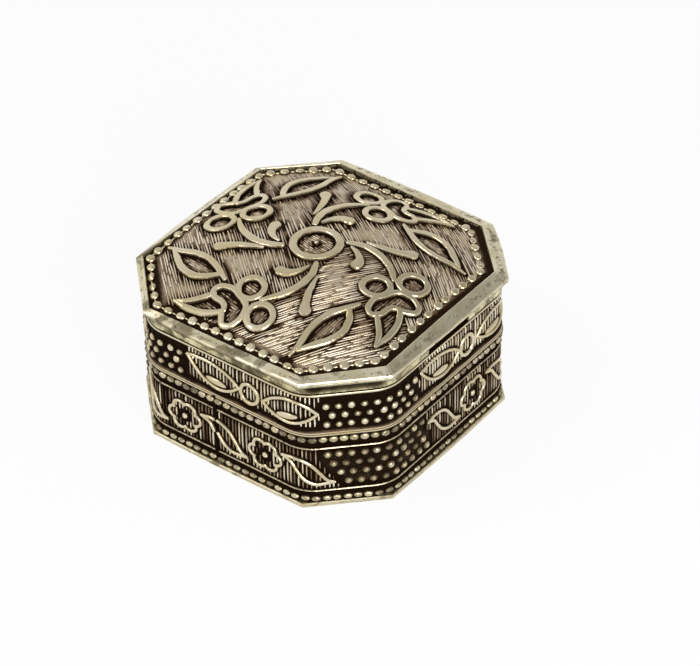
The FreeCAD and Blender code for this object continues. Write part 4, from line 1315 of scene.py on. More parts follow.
    def _underside(self, top: Grid, edge: Grid) -> tuple[Grid, list]:
        """Close a sheet with a coarser underside.

        Args:
            top: Points of the top.
            edge: Indices of its outer edge, anticlockwise.

        Returns:
            All points, and the faces of the edge and the underside.
        """
        form, share, size = self.form, self.UNDER_SHARE, len(edge)
        below = top[edge].copy()
        below[:, 2] = self.plate_foot
        rings = [below]
        for step in range(1, self.UNDER_RINGS + 1):
            ring = below[::share] * (1.0 - step / (self.UNDER_RINGS + 1))
            dome = form.ground(ring[:, 0], ring[:, 1]) - self.GAUGE
            domed = form.inset(ring[:, 0], ring[:, 1]) > self.DOME_INSET
            ring[:, 2] = np.where(domed, dome, self.plate_foot)
            rings.append(ring)
        middle = np.array([[0.0, 0.0, form.level(0.0, 0.0) - self.GAUGE]])
        points = np.vstack([top] + rings + [middle])
        first = len(top)
        faces: list = []
        for k in range(size):
            after = (k + 1) % size
            faces.append([int(edge[after]), int(edge[k]), first + k, first + after])
        inner = first + size
        few = size // share
        for j in range(few):
            a, b = inner + j, inner + (j + 1) % few
            outer = [first + (j * share + k) % size for k in range(share + 1)]
            faces += [[outer[1], outer[0], a], [outer[2], outer[1], a], [outer[2], a, b],
                      [outer[3], outer[2], b], [outer[4], outer[3], b]]
        for ring in range(self.UNDER_RINGS - 1):
            start = inner + ring * few
            for j in range(few):
                k = (j + 1) % few
                faces.append([start + k, start + j, start + few + j, start + few + k])
        last = inner + (self.UNDER_RINGS - 1) * few
        tip = len(points) - 1
        faces.extend([last + (j + 1) % few, last + j, tip] for j in range(few))
        return points, faces

    def _lean(self, place: Grid) -> float:
        """Return 1 at the corner towards X and -Y and -1 at the opposite one, small between."""
        return float((place[0] - place[1]) / (self.form.reach + self.form.half_side)) ** 3

    def _rim(self) -> Piece:
        """Return the sloping rim with mitred corners and slightly bowed long sides."""
        form = self.form
        stations: list[tuple[Grid, Grid, float]] = []
        corners = octagon(form.reach, form.half_side)
        for place, normal, share, is_long in walk_sides(corners, self.RIM_STEPS):
            most = self.SIDE_BOW if is_long else self.CORNER_BOW * max(0.0, self._lean(place))
            stations.append((place, normal, most * math.sin(math.pi * share)))
        rows = []
        for index, (place, normal, bow) in enumerate(stations):
            before = stations[index - 1][1]
            mitre = (normal + before) / (1.0 + float(normal @ before))
            swing = float(form.swing(place[0], place[1]))
            width = self.RIM_WIDTH + self.RIM_WIDTH_SWING * swing + self.RIM_WIDTH_LEAN * self._lean(place)
            rise = self.RIM_RISE + self.RIM_RISE_SWING * swing + self.random.normal(0.0, self.RIM_UNEVEN)
            worn = self.random.normal(0.0, self.RIM_UNEVEN)
            profile = [(-bow - worn, -0.04), (-bow - worn, 0.17), (0.1 - bow, 0.29), (0.18 - bow, 0.32),
                       (width * 0.5 - bow / 2, 0.16 + rise * 0.5), (width - 0.1, rise),
                       (width - 0.02, rise - 0.02), (width + 0.04, rise - 0.12), (width + 0.1, -0.12),
                       (width * 0.4, -0.12)]
            for inset, level in profile:
                flat = place - mitre * inset
                rows.append((flat[0], flat[1], form.edge_level + level))
        edges = np.tile(self.RIM_RUBBED, len(stations)) * self.random.uniform(0.5, 1.2, len(rows))
        return mesh_object("lid_sloping_rim", np.array(rows),
                           loop_faces(len(stations), len(self.RIM_RUBBED)), edges, sharp=self.RIM_SHARP)

    def _border(self) -> tuple[Seats, Seats]:
        """Return the places of the border's beads and of the short links between them."""
        form, inset = self.form, self.form.border_inset
        line = Outline(form.reach - inset, half_side_at(form.reach, inset), self.BORDER_CORNER, 0.0)
        count = round(line.length / self.BEAD_PITCH)
        drift = self.random.uniform(-self.BEAD_DRIFT, self.BEAD_DRIFT, count)
        walk = (np.arange(count) + drift) * line.length / count
        half_pitch = line.length / count / 2
        turns = np.linspace(0.0, 2.0 * math.pi, len(self.BORDER_INSETS))
        beads, links = Seats(), Seats()
        for walked, is_bead in [(way, True) for way in walk] + [(way + half_pitch, False) for way in walk]:
            flat, normal = (rows[0] for rows in line.at(np.array([walked])))
            turn = math.atan2(flat[1], flat[0]) % (2.0 * math.pi)
            drawn_in = np.interp(turn, turns, self.BORDER_INSETS)
            x, y = flat + np.array(form.shift) * self.BORDER_SHIFT - normal * drawn_in
            up, level = form.normal(x, y), form.level(x, y)
            along = np.array([-normal[1], normal[0], 0.0])
            if is_bead:
                beads.add((x, y, level - self.SUNK), up, along, wear=self.random.uniform(*self.BEAD_WEAR))
            else:
                links.add((x, y, level), up, along)
        return beads, links

    def _hatching(self) -> Seats:
        """Return the strokes that fill the ground between the ornaments."""
        form, seats = self.form, Seats()
        axis = np.arange(-form.reach, form.reach, self.HATCH_CELL)
        x, y = np.meshgrid(axis, axis, indexing="ij")
        px, py = x - form.shift[0], y - form.shift[1]
        relief = Relief(px, py)
        self.ornament.press(relief)
        cover = relief.cover.reshape(x.shape)
        cover[form.inset(x, y) < self.HATCH_LIMIT] = int(Cover.RAISED)
        gap = relief.gap.reshape(x.shape)
        calm = self._calm(x, y, gap)
        wear = (0.5 + 0.5 * soft_step(gap / 1.2)) * (1.0 - 0.3 * self._back(x, y))
        front = (px < self._stem(-py)) & (py < -self._stem(-px))
        left = ~front & (px < py * 0.6)
        right = ~front & ~left
        ground, petals = cover == int(Cover.GROUND), (cover == int(Cover.INNER)) & (gap > 0.3)
        turns = ((front, self.FRONT_ANGLE), (left, self.LEFT_ANGLE), (right, self.RIGHT_ANGLE))
        for region, angle in turns:
            self._hatch_region(seats, axis, region & ground, angle, wear, calm, self.GROUND_LENGTHS)
            self._hatch_region(seats, axis, region & petals, angle + self.PETAL_TURN, wear * 0.8, calm,
                               self.PETAL_LENGTHS)
        return seats

    @staticmethod
    def _stem(way: Grid) -> Grid:
        """Return how far a flower's stem stands off its axis, at distances out along it."""
        return 3.2 - 0.9 * np.clip(way - 9.0, 0.0, None)

    def _hatch_region(self, seats: Seats, axis: Grid, free: Grid, angle: float,
                      wear: Grid, calm: Grid, lengths: Pair) -> None:
        """Add parallel strokes over a region.

        Args:
            seats: Where the strokes are added.
            axis: Coordinates of the cover grid.
            free: Which cells may be hatched.
            angle: Direction of the strokes in degrees.
            wear: How bright each cell is rubbed.
            calm: How smooth each cell is.
            lengths: Shortest and longest stroke.
        """
        cell = axis[1] - axis[0]
        way = np.array([math.cos(math.radians(angle)), math.sin(math.radians(angle))])
        across = np.array([-way[1], way[0]])
        reach = -axis[0] * 1.5
        walk = np.arange(-reach, reach, cell)
        for offset in np.arange(-reach, reach, self.HATCH_PITCH):
            line = across * (offset + self.random.normal(0.0, self.HATCH_DRIFT)) + walk[:, None] * way
            cells = tuple(np.clip(((line - axis[0]) / cell).round().astype(int), 0, len(axis) - 1).T)
            held = free[cells] & (np.abs(line) < -axis[0]).all(axis=1)
            held &= calm[cells] < self.random.uniform(*self.CALM_CHANCE)
            rubbed = wear[cells]
            for start, stop in free_runs(held):
                self._add_strokes(seats, line[start:stop], way, rubbed[start:stop], lengths)

    def _add_strokes(self, seats: Seats, line: Grid, way: Grid, rubbed: Grid,
                     lengths: Pair) -> None:
        """Add strokes end to end along one free run of a hatch line.

        Args:
            seats: Where the strokes are added.
            line: Points of the run, a cell apart.
            way: Direction of the run.
            rubbed: How bright each point is rubbed.
            lengths: Shortest and longest stroke.
        """
        cell = float(np.linalg.norm(line[-1] - line[0])) / max(1, len(line) - 1)
        at = 0
        while at < len(line) - self.SHORTEST:
            length = min(int(self.random.uniform(*lengths) / cell), len(line) - at)
            x, y = line[at + length // 2] + self.random.normal(0.0, 0.02, 2)
            if length > self.SHORTEST and self.random.random() > 0.03 + 0.45 * float(self._back(x, y)):
                up = self.form.normal(x, y)
                turn = self.random.normal(0.0, 0.025)
                flat = np.array([way[0] - way[1] * turn, way[1] + way[0] * turn, 0.0])
                along = flat - up * float(flat @ up)
                shine = float(rubbed[at:at + length].mean()) * self.random.uniform(*self.STROKE_SHINE)
                place = (x, y, self.form.level(x, y) - self.SUNK)
                seats.add(place, up, along, length * cell * self.STROKE_LAP, shine)
            at += length


# The wall


class Strip:
    """A stamped ornament strip bent round the wall."""

    CELL_ALONG = 0.2
    CELL_UP = 0.1
    GAUGE = 0.4
    CORNER = 4.4
    START = 1.7
    RISE = 0.3
    GROOVE = 0.06
    SHARP = 60.0
    SEAM = 0.15
    SEAM_DEPTH = 0.0
    SEAM_SOOT = 0.9
    LEAF_WIDTH = 0.4
    ROW_DRIFT = 0.04
    ROW_WAVE = 0.015
    ROW_WEAR = (0.42, 0.6)
    HATCH_PITCH = 0.53
    HATCH_DRIFT = 0.12
    STROKE = {"Length": 1.0, "Width": 0.3, "Height": 0.2, "Flatness": 1.3, "Fullness": 1.2, "Jitter": 0.2}
    STROKE_WEAR = (0.5, 1.0)
    STROKE_SUNK = 0.03
    SHORTEST = 0.35
    DOT = {"Length": 1.06, "Width": 1.22, "Height": 0.5, "Flatness": 1.02, "Jitter": 0.08}
    DOT_WEAR = (0.5, 0.9)
    DOT_DRIFT = 0.05
    DOT_SUNK = 0.02
    DOT_ROOM = (1.05, 2.0)
    DOT_GROUND = 0.1

    def __init__(self, node: str, finishes: Finishes, studs: Instancer, strokes: Instancer) -> None:
        """Read the strip's place from the frame.

        Args:
            node: Node that the strip stands for.
            finishes: The box's finishes.
            studs: Tree that sets beads and dots.
            strokes: Tree that sets hatching strokes.
        """
        low, high = node_box(node)
        wall, rim = reach_of("inner_wall"), reach_of("lid_rim")
        half_side = half_side_at(rim, rim - wall - self.GAUGE)
        self.node = node
        self.foot, self.top = float(low[2]), float(high[2])
        self.face = Outline(wall + self.GAUGE, half_side, self.CORNER + self.GAUGE, self.START)
        self.finishes = finishes
        self.studs = studs
        self.strokes = strokes
        self.random = np.random.default_rng(23)

    def profile(self, level: Grid) -> tuple[Grid, Grid]:
        """Return how far the strip's mouldings stand out at heights, and how bright they are rubbed."""
        raise NotImplementedError

    def press(self, relief: Relief, ribbons: Ribbons) -> None:
        """Lay the strip's ornament."""
        raise NotImplementedError

    def dots(self) -> list[Pair]:
        """Return the places of the strip's dots, each a way along it and a level."""
        raise NotImplementedError

    def hatch_range(self) -> Pair:
        """Return the heights between which the ground is hatched."""
        raise NotImplementedError

    def build(self) -> None:
        """Build and dress the strip's sheet, ribbons, studs and strokes."""
        columns = round(self.face.length / self.CELL_ALONG)
        rows = round((self.top - self.foot) / self.CELL_UP) + 1
        walked = np.arange(columns) * self.face.length / columns
        levels = np.linspace(self.foot, self.top, rows)
        u, v = np.meshgrid(walked, levels, indexing="ij")
        relief, ribbons = Relief(u, v), Ribbons(self._lift, self.RISE, seed=31)
        self.press(relief, ribbons)
        for place in self.dots():
            relief.mark(oval(place, self.DOT_ROOM), Cover.BARE)
        looks = self.finishes
        sheet = self._sheet(relief, walked, levels)
        finish_piece(sheet, Body.BASE, looks.strip_ground, [self.node])
        finish_piece(ribbons.piece(f"{self.node}_ornament"), Body.BASE, looks.ornament)
        self.add_studs()
        strokes = self._hatching(relief, walked, levels)
        self.strokes.set_on(f"{self.node}_hatching", strokes, self.STROKE, 7, Body.BASE, looks.strokes)

    def _lift(self, u: Grid, v: Grid, height: Grid) -> Grid:
        """Return points over the strip's face from ways along it, levels and heights."""
        flat, normal = self.face.at(u)
        return np.column_stack([flat + normal * np.asarray(height)[:, None], v])

    def lay(self, line: Line, closed: bool, relief: Relief, ribbons: Ribbons | None,
            rise: float = 1.0) -> None:
        """Trace a line on the strip and sweep its ribbon.

        Args:
            line: Rows of a way along the strip, a level and a width.
            closed: Whether the line runs back to its start.
            relief: Where the line is traced.
            ribbons: Where its ribbon is swept, if it is wanted.
            rise: Factor on the ribbon's height, and on how bright it is rubbed.
        """
        if self.SEAM_DEPTH > 0.0:
            margin = line[:, 2] / 2.0 + self.SEAM / 2.0
            line = line[(line[:, 0] > margin) & (line[:, 0] < self.face.length - margin)]
        relief.trace(line)
        if ribbons is not None:
            ribbons.add(line, closed, rise)

    def lay_leaf(self, tip: float, edges: Sequence[Sequence[Pair]], relief: Relief,
                 ribbons: Ribbons | None) -> Line:
        """Lay the two edges of a leaf.

        Args:
            tip: Way along the strip to the leaf's first tip.
            edges: Upper and lower edge, as ways from the tip and levels.
            relief: Where the edges are traced.
            ribbons: Where their ribbons are swept, if they are wanted.

        Returns:
            The leaf's outline.
        """
        upper, lower = (smooth_line([(tip + x, z, self.LEAF_WIDTH) for x, z in edge]) for edge in edges)
        self.lay(upper, False, relief, ribbons)
        self.lay(lower, False, relief, ribbons)
        return np.vstack([upper, lower[::-1]])

    def add_studs(self) -> None:
        """Set the strip's studs, which are dots at least."""
        self.set_dots(17, self.finishes.ornament)

    def set_dots(self, seed: int, finish: Finish) -> None:
        """Set the dots.

        Args:
            seed: Seed of their random sizes.
            finish: Their finish.
        """
        seats = Seats()
        for walked, level in self.dots():
            self.seat(seats, walked + self.random.normal(0.0, self.DOT_DRIFT), level, -self.DOT_SUNK,
                      wear=self.random.uniform(*self.DOT_WEAR))
        self.studs.set_on(f"{self.node}_dots", seats, self.DOT, seed, Body.BASE, finish)

    def _sheet(self, relief: Relief, walked: Grid, levels: Grid) -> Piece:
        """Return the strip's sheet as a closed ring, with the groove of its butt joint."""
        height, crest, foot = relief.surface(self.GROOVE)
        stand, rubbed = self.profile(levels)
        bare = relief.cover.reshape(relief.shape) == int(Cover.BARE)
        crest = np.maximum(np.maximum(crest, rubbed[None, :]), self.DOT_GROUND * bare)
        flat, normal = self.face.at(walked)
        seam = np.exp(-(np.minimum(walked, self.face.length - walked) / self.SEAM) ** 2)[:, None]
        out = height + stand[None, :] - self.SEAM_DEPTH * seam
        if self.SEAM_DEPTH > 0.0:
            crest = crest * (1.0 - self.SEAM_SOOT * seam)
        front = np.concatenate([flat[:, None, :] + normal[:, None, :] * out[..., None],
                                np.broadcast_to(levels[None, :, None], (*out.shape, 1))], axis=-1)
        behind = flat - normal * self.GAUGE
        back = np.stack([np.column_stack([behind, np.full(len(behind), level)])
                         for level in (self.top, self.foot)], axis=1)
        points = np.concatenate([front, back], axis=1)
        faces = loop_faces(len(walked), points.shape[1])
        plain = np.zeros((len(walked), 2))
        crest, foot = (np.concatenate([grid, plain], axis=1) for grid in (crest, foot))
        return mesh_object(f"{self.node}_sheet", points.reshape(-1, 3), faces, crest, foot, self.SHARP)

    def seat(self, seats: Seats, walked: float, level: float, stand: float, span: float = 1.0,
             upright: bool = False, wear: float = 1.0) -> None:
        """Add a place on the strip's face.

        Args:
            seats: Where the place is added.
            walked: Distance along the strip.
            level: Height.
            stand: Distance out from the face.
            span: Factor on the shape's length.
            upright: Whether the shape's length runs up the wall.
            wear: How bright and broad the shape is rubbed.
        """
        flat, normal = (rows[0] for rows in self.face.at(np.array([walked])))
        facing = np.array([*normal, 0.0])
        along = np.array([0.0, 0.0, 1.0]) if upright else np.array([-normal[1], normal[0], 0.0])
        seats.add(np.array([*(flat + normal * stand), level]), facing, along, span, wear)

    def row(self, level: float, pitch: float, stand: float) -> Seats:
        """Return evenly spaced places round the whole strip."""
        seats = Seats()
        count = round(self.face.length / pitch)
        for index in range(count):
            drift = self.random.uniform(-self.ROW_DRIFT, self.ROW_DRIFT)
            walked = (index + 0.5 + drift) * self.face.length / count
            self.seat(seats, walked, level + self.random.normal(0.0, self.ROW_WAVE), stand,
                      wear=self.random.uniform(*self.ROW_WEAR))
        return seats

    def _hatching(self, relief: Relief, walked: Grid, levels: Grid) -> Seats:
        """Return the upright strokes that fill the free runs of the ground.

        Args:
            relief: Where the ornament lies.
            walked: Ways along the strip of the relief's columns.
            levels: Heights of the relief's rows.

        Returns:
            The places of the strokes.
        """
        seats = Seats()
        cover = relief.cover.reshape(relief.shape)
        low, high = self.hatch_range()
        held = (levels > low) & (levels < high)
        count = round(self.face.length / self.HATCH_PITCH)
        step = levels[1] - levels[0]
        for index in range(count):
            drift = self.random.uniform(-self.HATCH_DRIFT, self.HATCH_DRIFT)
            place = (index + drift) * self.face.length / count
            if self.SEAM_DEPTH > 0.0 and min(place, self.face.length - place) < self.SEAM:
                continue
            column = cover[int(place / self.face.length * len(walked)) % len(walked)]
            for label in (Cover.GROUND, Cover.INNER):
                for start, stop in free_runs((column == int(label)) & held):
                    length = (stop - start) * step
                    if length < self.SHORTEST:
                        continue
                    self.seat(seats, place, levels[start] + length / 2.0, -self.STROKE_SUNK, length,
                              upright=True, wear=self.random.uniform(*self.STROKE_WEAR))
        return seats


class LowerStrip(Strip):
    """The taller strip: bead rows, thin lines, leaf and flower groups, slanting rows of dots."""

    PERIOD = 33.0
    FIRST_FLOWER = 7.7
    LAST_FLOWER = -5.0
    FLOWER_LEVEL = 5.35
    FLOWER = (2.5, 2.22)
    FLOWER_LOBES = 6
    FLOWER_SCALLOP = 0.24
    FLOWER_EYE = (0.2, 0.2)
    FLOWER_EYE_WIDTH = 0.36
    FLOWER_BARE = (1.0, 0.95)
    LEAF_WIDTH = 0.42
    LEAF_STARTS = (-9.4, 2.8)
    LEAF = (((0.0, 6.85), (1.3, 7.1), (2.6, 6.95), (3.8, 6.25), (4.8, 4.95), (5.6, 3.9), (6.5, 3.5)),
            ((0.0, 6.85), (1.2, 6.35), (2.0, 5.15), (2.9, 3.95), (4.1, 3.3), (5.3, 3.3), (6.5, 3.5)))
    LINES = (2.2, 8.85)
    LINE_WIDTH = 0.26
    LINE_RISE = 0.65
    LINE_STEP = 0.3
    LINE_END = 0.15
    SEAM_DEPTH = 0.34
    FOOT_BEADS = 1.08
    TOP_BEADS = 10.33
    BEAD = {"Length": 1.25, "Height": 0.36, "Flatness": 1.4, "Jitter": 0.05}
    BEAD_STAND = 0.06
    MOULDING = 0.55
    MOULDING_RISE = 0.14
    LIP_RISE = 0.36
    LIP_RUBBED = 0.6
    STROKE_WEAR = (0.3, 0.8)
    DOT = {"Length": 1.1, "Width": 1.3, "Height": 0.5, "Flatness": 1.02, "Jitter": 0.08}
    DOT_LEVELS = (7.85, 6.4, 4.95, 3.5)
    DOT_PITCH = 1.53
    DOT_FIRST = (8.5, 0.85)
    DOT_LAST = (-10.4, 0.3)
    DOT_WEAR = (0.32, 0.66)
    DOT_ROOM = (1.1, 2.1)
    DOT_GROUND = 0.18

    def flowers(self) -> list[float]:
        """Return where the flowers stand along the strip."""
        whole = [self.FIRST_FLOWER + self.PERIOD * k for k in range(4)]
        return whole + [self.face.length + self.LAST_FLOWER]

    def profile(self, level: Grid) -> tuple[Grid, Grid]:
        """Return the mouldings of the lower strip."""
        beads = sum(np.clip(1.0 - ((level - row) / self.MOULDING) ** 2, 0.0, 1.0)
                    for row in (self.FOOT_BEADS, self.TOP_BEADS))
        lip = soft_step((level - self.top + 0.38) / 0.2)
        return self.MOULDING_RISE * beads + self.LIP_RISE * lip, self.LIP_RUBBED * lip

    def press(self, relief: Relief, ribbons: Ribbons) -> None:
        """Lay the thin lines and the leaf and flower groups."""
        length = self.face.length
        around = np.linspace(self.LINE_END, length - self.LINE_END, round(length / self.LINE_STEP))
        for level in self.LINES:
            line = np.stack([around, np.full_like(around, level),
                             np.full_like(around, self.LINE_WIDTH)], axis=1)
            self.lay(line, False, relief, ribbons, self.LINE_RISE)
        for middle in self.flowers():
            place = (middle, self.FLOWER_LEVEL)
            flower = oval(place, self.FLOWER, self.LEAF_WIDTH, lobes=self.FLOWER_LOBES,
                          scallop=self.FLOWER_SCALLOP)
            self.lay(flower, True, relief, ribbons)
            self.lay(oval(place, self.FLOWER_EYE, self.FLOWER_EYE_WIDTH), True, relief, ribbons)
            leaves = [self.lay_leaf(middle + start, self.LEAF, relief, ribbons)
                      for start in self.LEAF_STARTS]
            for outline in (flower, *leaves):
                relief.mark(outline, Cover.INNER)
            relief.mark(oval(place, self.FLOWER_BARE), Cover.BARE)

    def dots(self) -> list[Pair]:
        """Return the places of the slanting rows of dots."""
        places = []
        stops = self.flowers()[1:] + [self.face.length + self.FIRST_FLOWER]
        for middle, following in zip(self.flowers(), stops):
            for row, level in enumerate(self.DOT_LEVELS):
                start = middle + self.DOT_FIRST[0] + self.DOT_FIRST[1] * row
                stop = following + self.DOT_LAST[0] + self.DOT_LAST[1] * row
                places += [(walked, level) for walked in np.arange(start, stop, self.DOT_PITCH)]
        return [place for place in places if place[0] < self.face.length - 0.6]

    def hatch_range(self) -> Pair:
        """Return the heights between the two thin lines."""
        return self.LINES[0] + 0.22, self.LINES[1] - 0.2

    def add_studs(self) -> None:
        """Set the two bead rows and the dots."""
        for name, level, pitch, width in (("foot_bead_row", self.FOOT_BEADS, 1.28, 0.98),
                                          ("middle_bead_row", self.TOP_BEADS, 1.26, 1.18)):
            seats, sizes = self.row(level, pitch, self.BEAD_STAND), {**self.BEAD, "Width": width}
            self.studs.set_on(name, seats, sizes, 9, Body.BASE, self.finishes.ornament)
        self.set_dots(13, self.finishes.dots)


class UpperStrip(Strip):
    """The narrower strip: sloping foot, leaf and ring groups, rows of dots, plain top margin."""

    FIRST_LEAF = -4.0
    GROUPS = 4
    RING_AT = 9.6
    RING_LEVEL = 13.9
    RING = (1.32, 1.42)
    RING_WIDTH = 0.5
    SECOND_LEAF_AT = 11.7
    LEFT = (((0.0, 15.7), (1.6, 15.95), (3.6, 15.95), (5.6, 15.5), (7.0, 14.8), (8.0, 14.0)),
            ((0.0, 15.7), (0.9, 14.5), (2.2, 13.25), (3.8, 12.5), (5.2, 12.4), (6.7, 12.95), (8.0, 14.0)))
    RIGHT = (((0.0, 13.8), (1.4, 15.0), (3.3, 15.85), (5.0, 15.9), (6.4, 15.3), (7.5, 14.3)),
             ((0.0, 13.8), (1.2, 13.0), (2.9, 12.45), (4.6, 12.6), (6.2, 13.3), (7.5, 14.3)))
    LENS = (1.75, 0.48)
    LENS_LEVEL = 13.22
    LENS_RISE = 0.34
    LENS_PLACES = ((4.3, -5.0), (SECOND_LEAF_AT + 3.5, 12.0))
    LENS_BARE = (1.95, 0.6)
    LENS_BARE_LEVEL = 13.2
    DOTS_AT = 20.2
    DOT_LEVELS = (15.35, 13.95, 12.6)
    DOT_PITCH = 1.55
    DOT_STAGGER = 0.78
    DOTS_IN_ROW = 9
    COVE_RISE = 0.26
    COVE_RUBBED = 0.3
    LIP_RISE = 0.05
    LIP_RUBBED = 0.62
    MARGIN = 0.46
    MARGIN_RISE = 0.22
    MARGIN_RUBBED = 0.85

    def starts(self) -> list[float]:
        """Return where the groups start along the strip."""
        return [self.FIRST_LEAF + self.face.length / self.GROUPS * k for k in range(self.GROUPS + 1)]

    def profile(self, level: Grid) -> tuple[Grid, Grid]:
        """Return the sloping foot and the top margin."""
        cove = 1.0 - soft_step((level - self.foot - 0.25) / 0.75)
        lip = np.exp(-((level - self.foot - 0.16) / 0.14) ** 4)
        margin = soft_step((level - self.top + self.MARGIN) / 0.16)
        roll = soft_step((self.top + 0.03 - level) / 0.12)
        ledge = soft_step((level - self.top + 0.05) / 0.04)
        rubbed = np.maximum(self.LIP_RUBBED * lip, self.COVE_RUBBED * cove)
        rubbed = np.maximum(rubbed, self.MARGIN_RUBBED * margin * (1.0 - ledge))
        stand = self.COVE_RISE * cove + self.LIP_RISE * lip
        return stand + self.MARGIN_RISE * margin * (0.6 + 0.4 * roll), rubbed

    def press(self, relief: Relief, ribbons: Ribbons) -> None:
        """Lay the leaf and ring groups."""
        for group, start in enumerate(self.starts()):
            laid = ribbons if group < self.GROUPS else None
            ring = oval((start + self.RING_AT, self.RING_LEVEL), self.RING, self.RING_WIDTH)
            self.lay(ring, True, relief, laid)
            for tip, edges in ((start, self.LEFT), (start + self.SECOND_LEAF_AT, self.RIGHT)):
                relief.mark(self.lay_leaf(tip, edges, relief, laid), Cover.INNER)
            relief.mark(ring, Cover.INNER)
            for way, tilt in self.LENS_PLACES:
                relief.bulge((start + way, self.LENS_LEVEL), self.LENS, self.LENS_RISE, tilt, 1.0)
                bare = oval((start + way, self.LENS_BARE_LEVEL), self.LENS_BARE, tilt=tilt)
                relief.mark(bare, Cover.BARE)

    def dots(self) -> list[Pair]:
        """Return the places of the staggered dots."""
        places = []
        for start in self.starts():
            for row, level in enumerate(self.DOT_LEVELS):
                odd = row % 2
                first = start + self.DOTS_AT + self.DOT_STAGGER * odd
                places += [(first + self.DOT_PITCH * k, level) for k in range(self.DOTS_IN_ROW - odd)]
        return [place for place in places if 0.0 <= place[0] < self.face.length]

    def hatch_range(self) -> Pair:
        """Return the heights between the foot's slope and the margin."""
        return self.foot + 1.0, self.top - self.MARGIN


class BasePlate:
    """The sheet that the box stands on, with softened edges and slightly bowed long sides."""

    SIDE_BOW = 0.2
    SIDE_STEPS = (16, 16)
    EDGE = 0.09
    SHARP = 35.0

    def __init__(self, finishes: Finishes) -> None:
        """Read the plate's sizes from the frame."""
        low, high = node_box("base_plate")
        rim = reach_of("lid_rim")
        self.reach = float(high[0])
        self.half_side = half_side_at(rim, rim - self.reach)
        self.gauge = float(high[2] - low[2])
        self.finishes = finishes

    def build(self) -> None:
        """Build and dress the plate."""
        walk = walk_sides(octagon(self.reach, self.half_side), self.SIDE_STEPS)
        ring = np.array([place + normal * (self.SIDE_BOW * math.sin(math.pi * share) * is_long)
                         for place, normal, share, is_long in walk])
        count, drawn_in = len(ring), 1.0 - self.EDGE / self.reach
        levels = ((0.0, drawn_in), (self.EDGE, 1.0), (self.gauge - self.EDGE, 1.0), (self.gauge, drawn_in))
        rows = [np.column_stack([ring * scale, np.full(count, level)]) for level, scale in levels]
        faces: list = [list(range(count - 1, -1, -1)), list(range(3 * count, 4 * count))]
        for row in range(3):
            for k in range(count):
                after = (k + 1) % count
                faces.append([row * count + k, row * count + after,
                              (row + 1) * count + after, (row + 1) * count + k])
        piece = mesh_object("base_sheet", np.vstack(rows), faces, sharp=self.SHARP)
        finish_piece(piece, Body.BASE, self.finishes.base, ["base_plate"])


class PlainPieces:
    """Pieces whose solid is right as it is and only needs a finish."""

    def __init__(self, finishes: Finishes) -> None:
        """Pair every node with its finish."""
        self.coats = {"inner_wall": finishes.lining, "lid_flange": finishes.flange,
                      "hinge_pin": finishes.pin}
        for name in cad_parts:
            if "knuckle" in name or "bearer" in name:
                self.coats[name] = finishes.hinge

    def dress(self) -> None:
        """Put the finishes on."""
        for name, material in self.coats.items():
            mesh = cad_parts[name].data
            mesh.materials.clear()
            mesh.materials.append(material)
            log.info("%s: %s", name, material.name)


# The stage


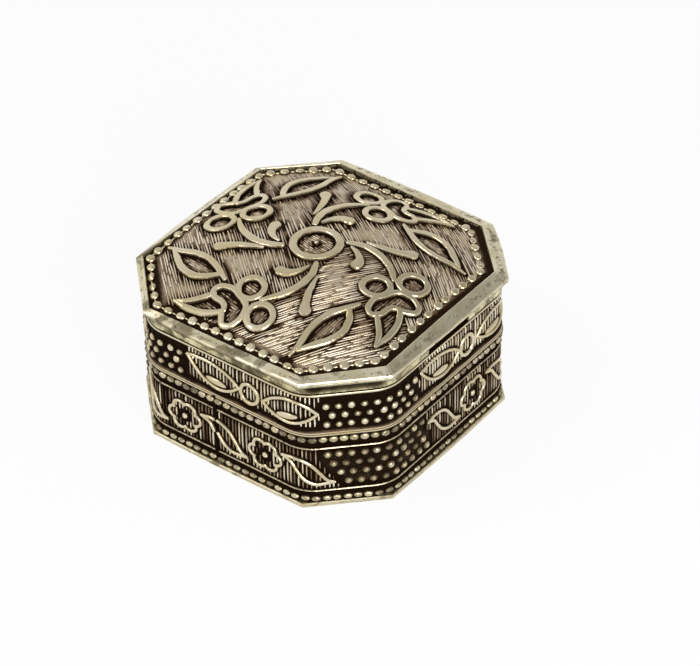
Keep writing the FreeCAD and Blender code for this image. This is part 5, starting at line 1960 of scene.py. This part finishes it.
@dataclass
class Stage:
    """Pale floor, soft light and the camera at the photograph's viewing angle."""

    azimuth: float = -51.93
    elevation: float = 38.18
    roll: float = -1.16
    distance: float = 400.0
    focal_pixels: float = 3173.0
    image_width: float = 700.0
    sensor: float = 36.0
    aim_level: float = 9.625
    aim_right: float = 3.415
    aim_up: float = -0.372
    floor_half: float = 3000.0
    floor_level: float = 0.01
    floor_glow: float = 0.9
    room_light: float = 0.5
    ceiling_shade: float = 0.32
    right_ceiling_shade: float = 0.46
    right_shade: float = 0.14
    lamp_aim: float = 10.0

    # Name, place and side in millimetres, and watts of each lamp
    LAMPS = (("soft_box_front", (-180.0, -260.0, 150.0), 220.0, 0.85),
             ("soft_box_left", (-200.0, 210.0, 340.0), 240.0, 0.4))

    def build(self) -> None:
        """Make the floor, the world, the lamps and the camera."""
        self._floor()
        self._world()
        self._lamps()
        self._camera()
        bpy.context.scene.view_settings.view_transform = "Standard"

    def _axes(self) -> tuple[Vector, Vector, Vector]:
        """Return the camera's right, up and back directions before its roll."""
        a, e = math.radians(self.azimuth), math.radians(self.elevation)
        back = Vector((math.sin(a) * math.cos(e), -math.cos(a) * math.cos(e), math.sin(e)))
        right = Vector((math.cos(a), math.sin(a), 0.0))
        return right, back.cross(right), back

    def _camera(self) -> None:
        """Set the camera."""
        right, up, back = self._axes()
        turn = math.radians(self.roll)
        across = right * math.cos(turn) + up * math.sin(turn)
        over = up * math.cos(turn) - right * math.sin(turn)
        aim = Vector((0.0, 0.0, self.aim_level)) + across * self.aim_right + over * self.aim_up
        lens = bpy.data.cameras.new("photo_camera")
        lens.lens = self.focal_pixels * self.sensor / self.image_width
        lens.sensor_width = self.sensor
        camera = new_object("photo_camera", lens)
        place = (aim + back * self.distance) * MM
        camera.matrix_world = Matrix.Translation(place) @ Matrix((across, over, back)).transposed().to_4x4()
        bpy.context.scene.camera = camera

    def _floor(self) -> None:
        """Make a white floor that keeps a faint shadow."""
        half, level = self.floor_half, self.floor_level
        corners = [(-half, -half, level), (half, -half, level), (half, half, level), (-half, half, level)]
        floor = mesh_object("floor", np.array(corners), [[0, 1, 2, 3]])
        material = bpy.data.materials.new("white_paper")
        graph = NodeGraph.fresh(material)
        paper = graph.add("ShaderNodeBsdfDiffuse", None, {"Color": (0.95, 0.95, 0.95, 1.0)})
        glow = graph.add("ShaderNodeEmission", None, {"Color": (1.0, 1.0, 1.0, 1.0), "Strength": 1.0})
        path = graph.add("ShaderNodeLightPath")
        seen = graph.signal(path, "Is Camera Ray").most(graph.signal(path, "Is Glossy Ray"))
        seen = seen.most(graph.signal(path, "Is Transmission Ray"))
        mixed = graph.add("ShaderNodeMixShader", None,
                          {0: seen * self.floor_glow, 1: paper.outputs[0], 2: glow.outputs[0]})
        graph.add("ShaderNodeOutputMaterial", None, {"Surface": mixed.outputs[0]})
        floor.data.materials.append(material)

    def _world(self) -> None:
        """Make a white surround with a darker ceiling, darkest at the right."""
        world = bpy.data.worlds.new("white_surround")
        graph = NodeGraph.fresh(world)
        x, y, z = graph.axes(graph.add("ShaderNodeTexCoord").outputs["Generated"])
        right = graph.ramp(x - y * 0.6, 0.0, 0.9)
        above = graph.ramp(z, 0.2, 0.95)
        room = 1.0 - above * (self.ceiling_shade + right * self.right_ceiling_shade)
        room = room - right * (1.0 - above) * self.right_shade
        lit, mirrored, seen = (
            graph.add("ShaderNodeBackground", None, {"Color": (1.0, 1.0, 1.0, 1.0), "Strength": strength})
            for strength in (self.room_light, room, 1.0))
        path = graph.add("ShaderNodeLightPath")
        gloss = graph.signal(path, "Is Glossy Ray").most(graph.signal(path, "Is Transmission Ray"))
        around = graph.add("ShaderNodeMixShader", None,
                           {0: gloss, 1: lit.outputs[0], 2: mirrored.outputs[0]})
        mixed = graph.add("ShaderNodeMixShader", None,
                          {0: path.outputs["Is Camera Ray"], 1: around.outputs[0], 2: seen.outputs[0]})
        graph.add("ShaderNodeOutputWorld", None, {"Surface": mixed.outputs[0]})
        bpy.context.scene.world = world

    def _lamps(self) -> None:
        """Hang square soft boxes that face the object."""
        for name, place, size, power in self.LAMPS:
            lamp = bpy.data.lights.new(name, "AREA")
            lamp.size = size * MM
            lamp.energy = power
            hung = new_object(name, lamp)
            hung.location = Vector(place) * MM
            aim = Vector((0.0, 0.0, self.lamp_aim)) * MM - hung.location
            hung.rotation_euler = aim.to_track_quat("-Z", "Y").to_euler()


def main() -> None:
    """Build every piece, dress it and set the stage."""
    logging.basicConfig(level=logging.INFO, format="%(name)s: %(message)s")
    finishes = Finishes.make()
    studs = Instancer("stud_rows", segments=14, rings=8)
    strokes = Instancer("hatch_strokes", segments=8, rings=5)
    PlainPieces(finishes).dress()
    BasePlate(finishes).build()
    LowerStrip("lower_strip", finishes, studs, strokes).build()
    UpperStrip("upper_strip", finishes, studs, strokes).build()
    Lid(finishes, studs, strokes).build()
    Stage().build()


if __name__ == "__main__":
    main()
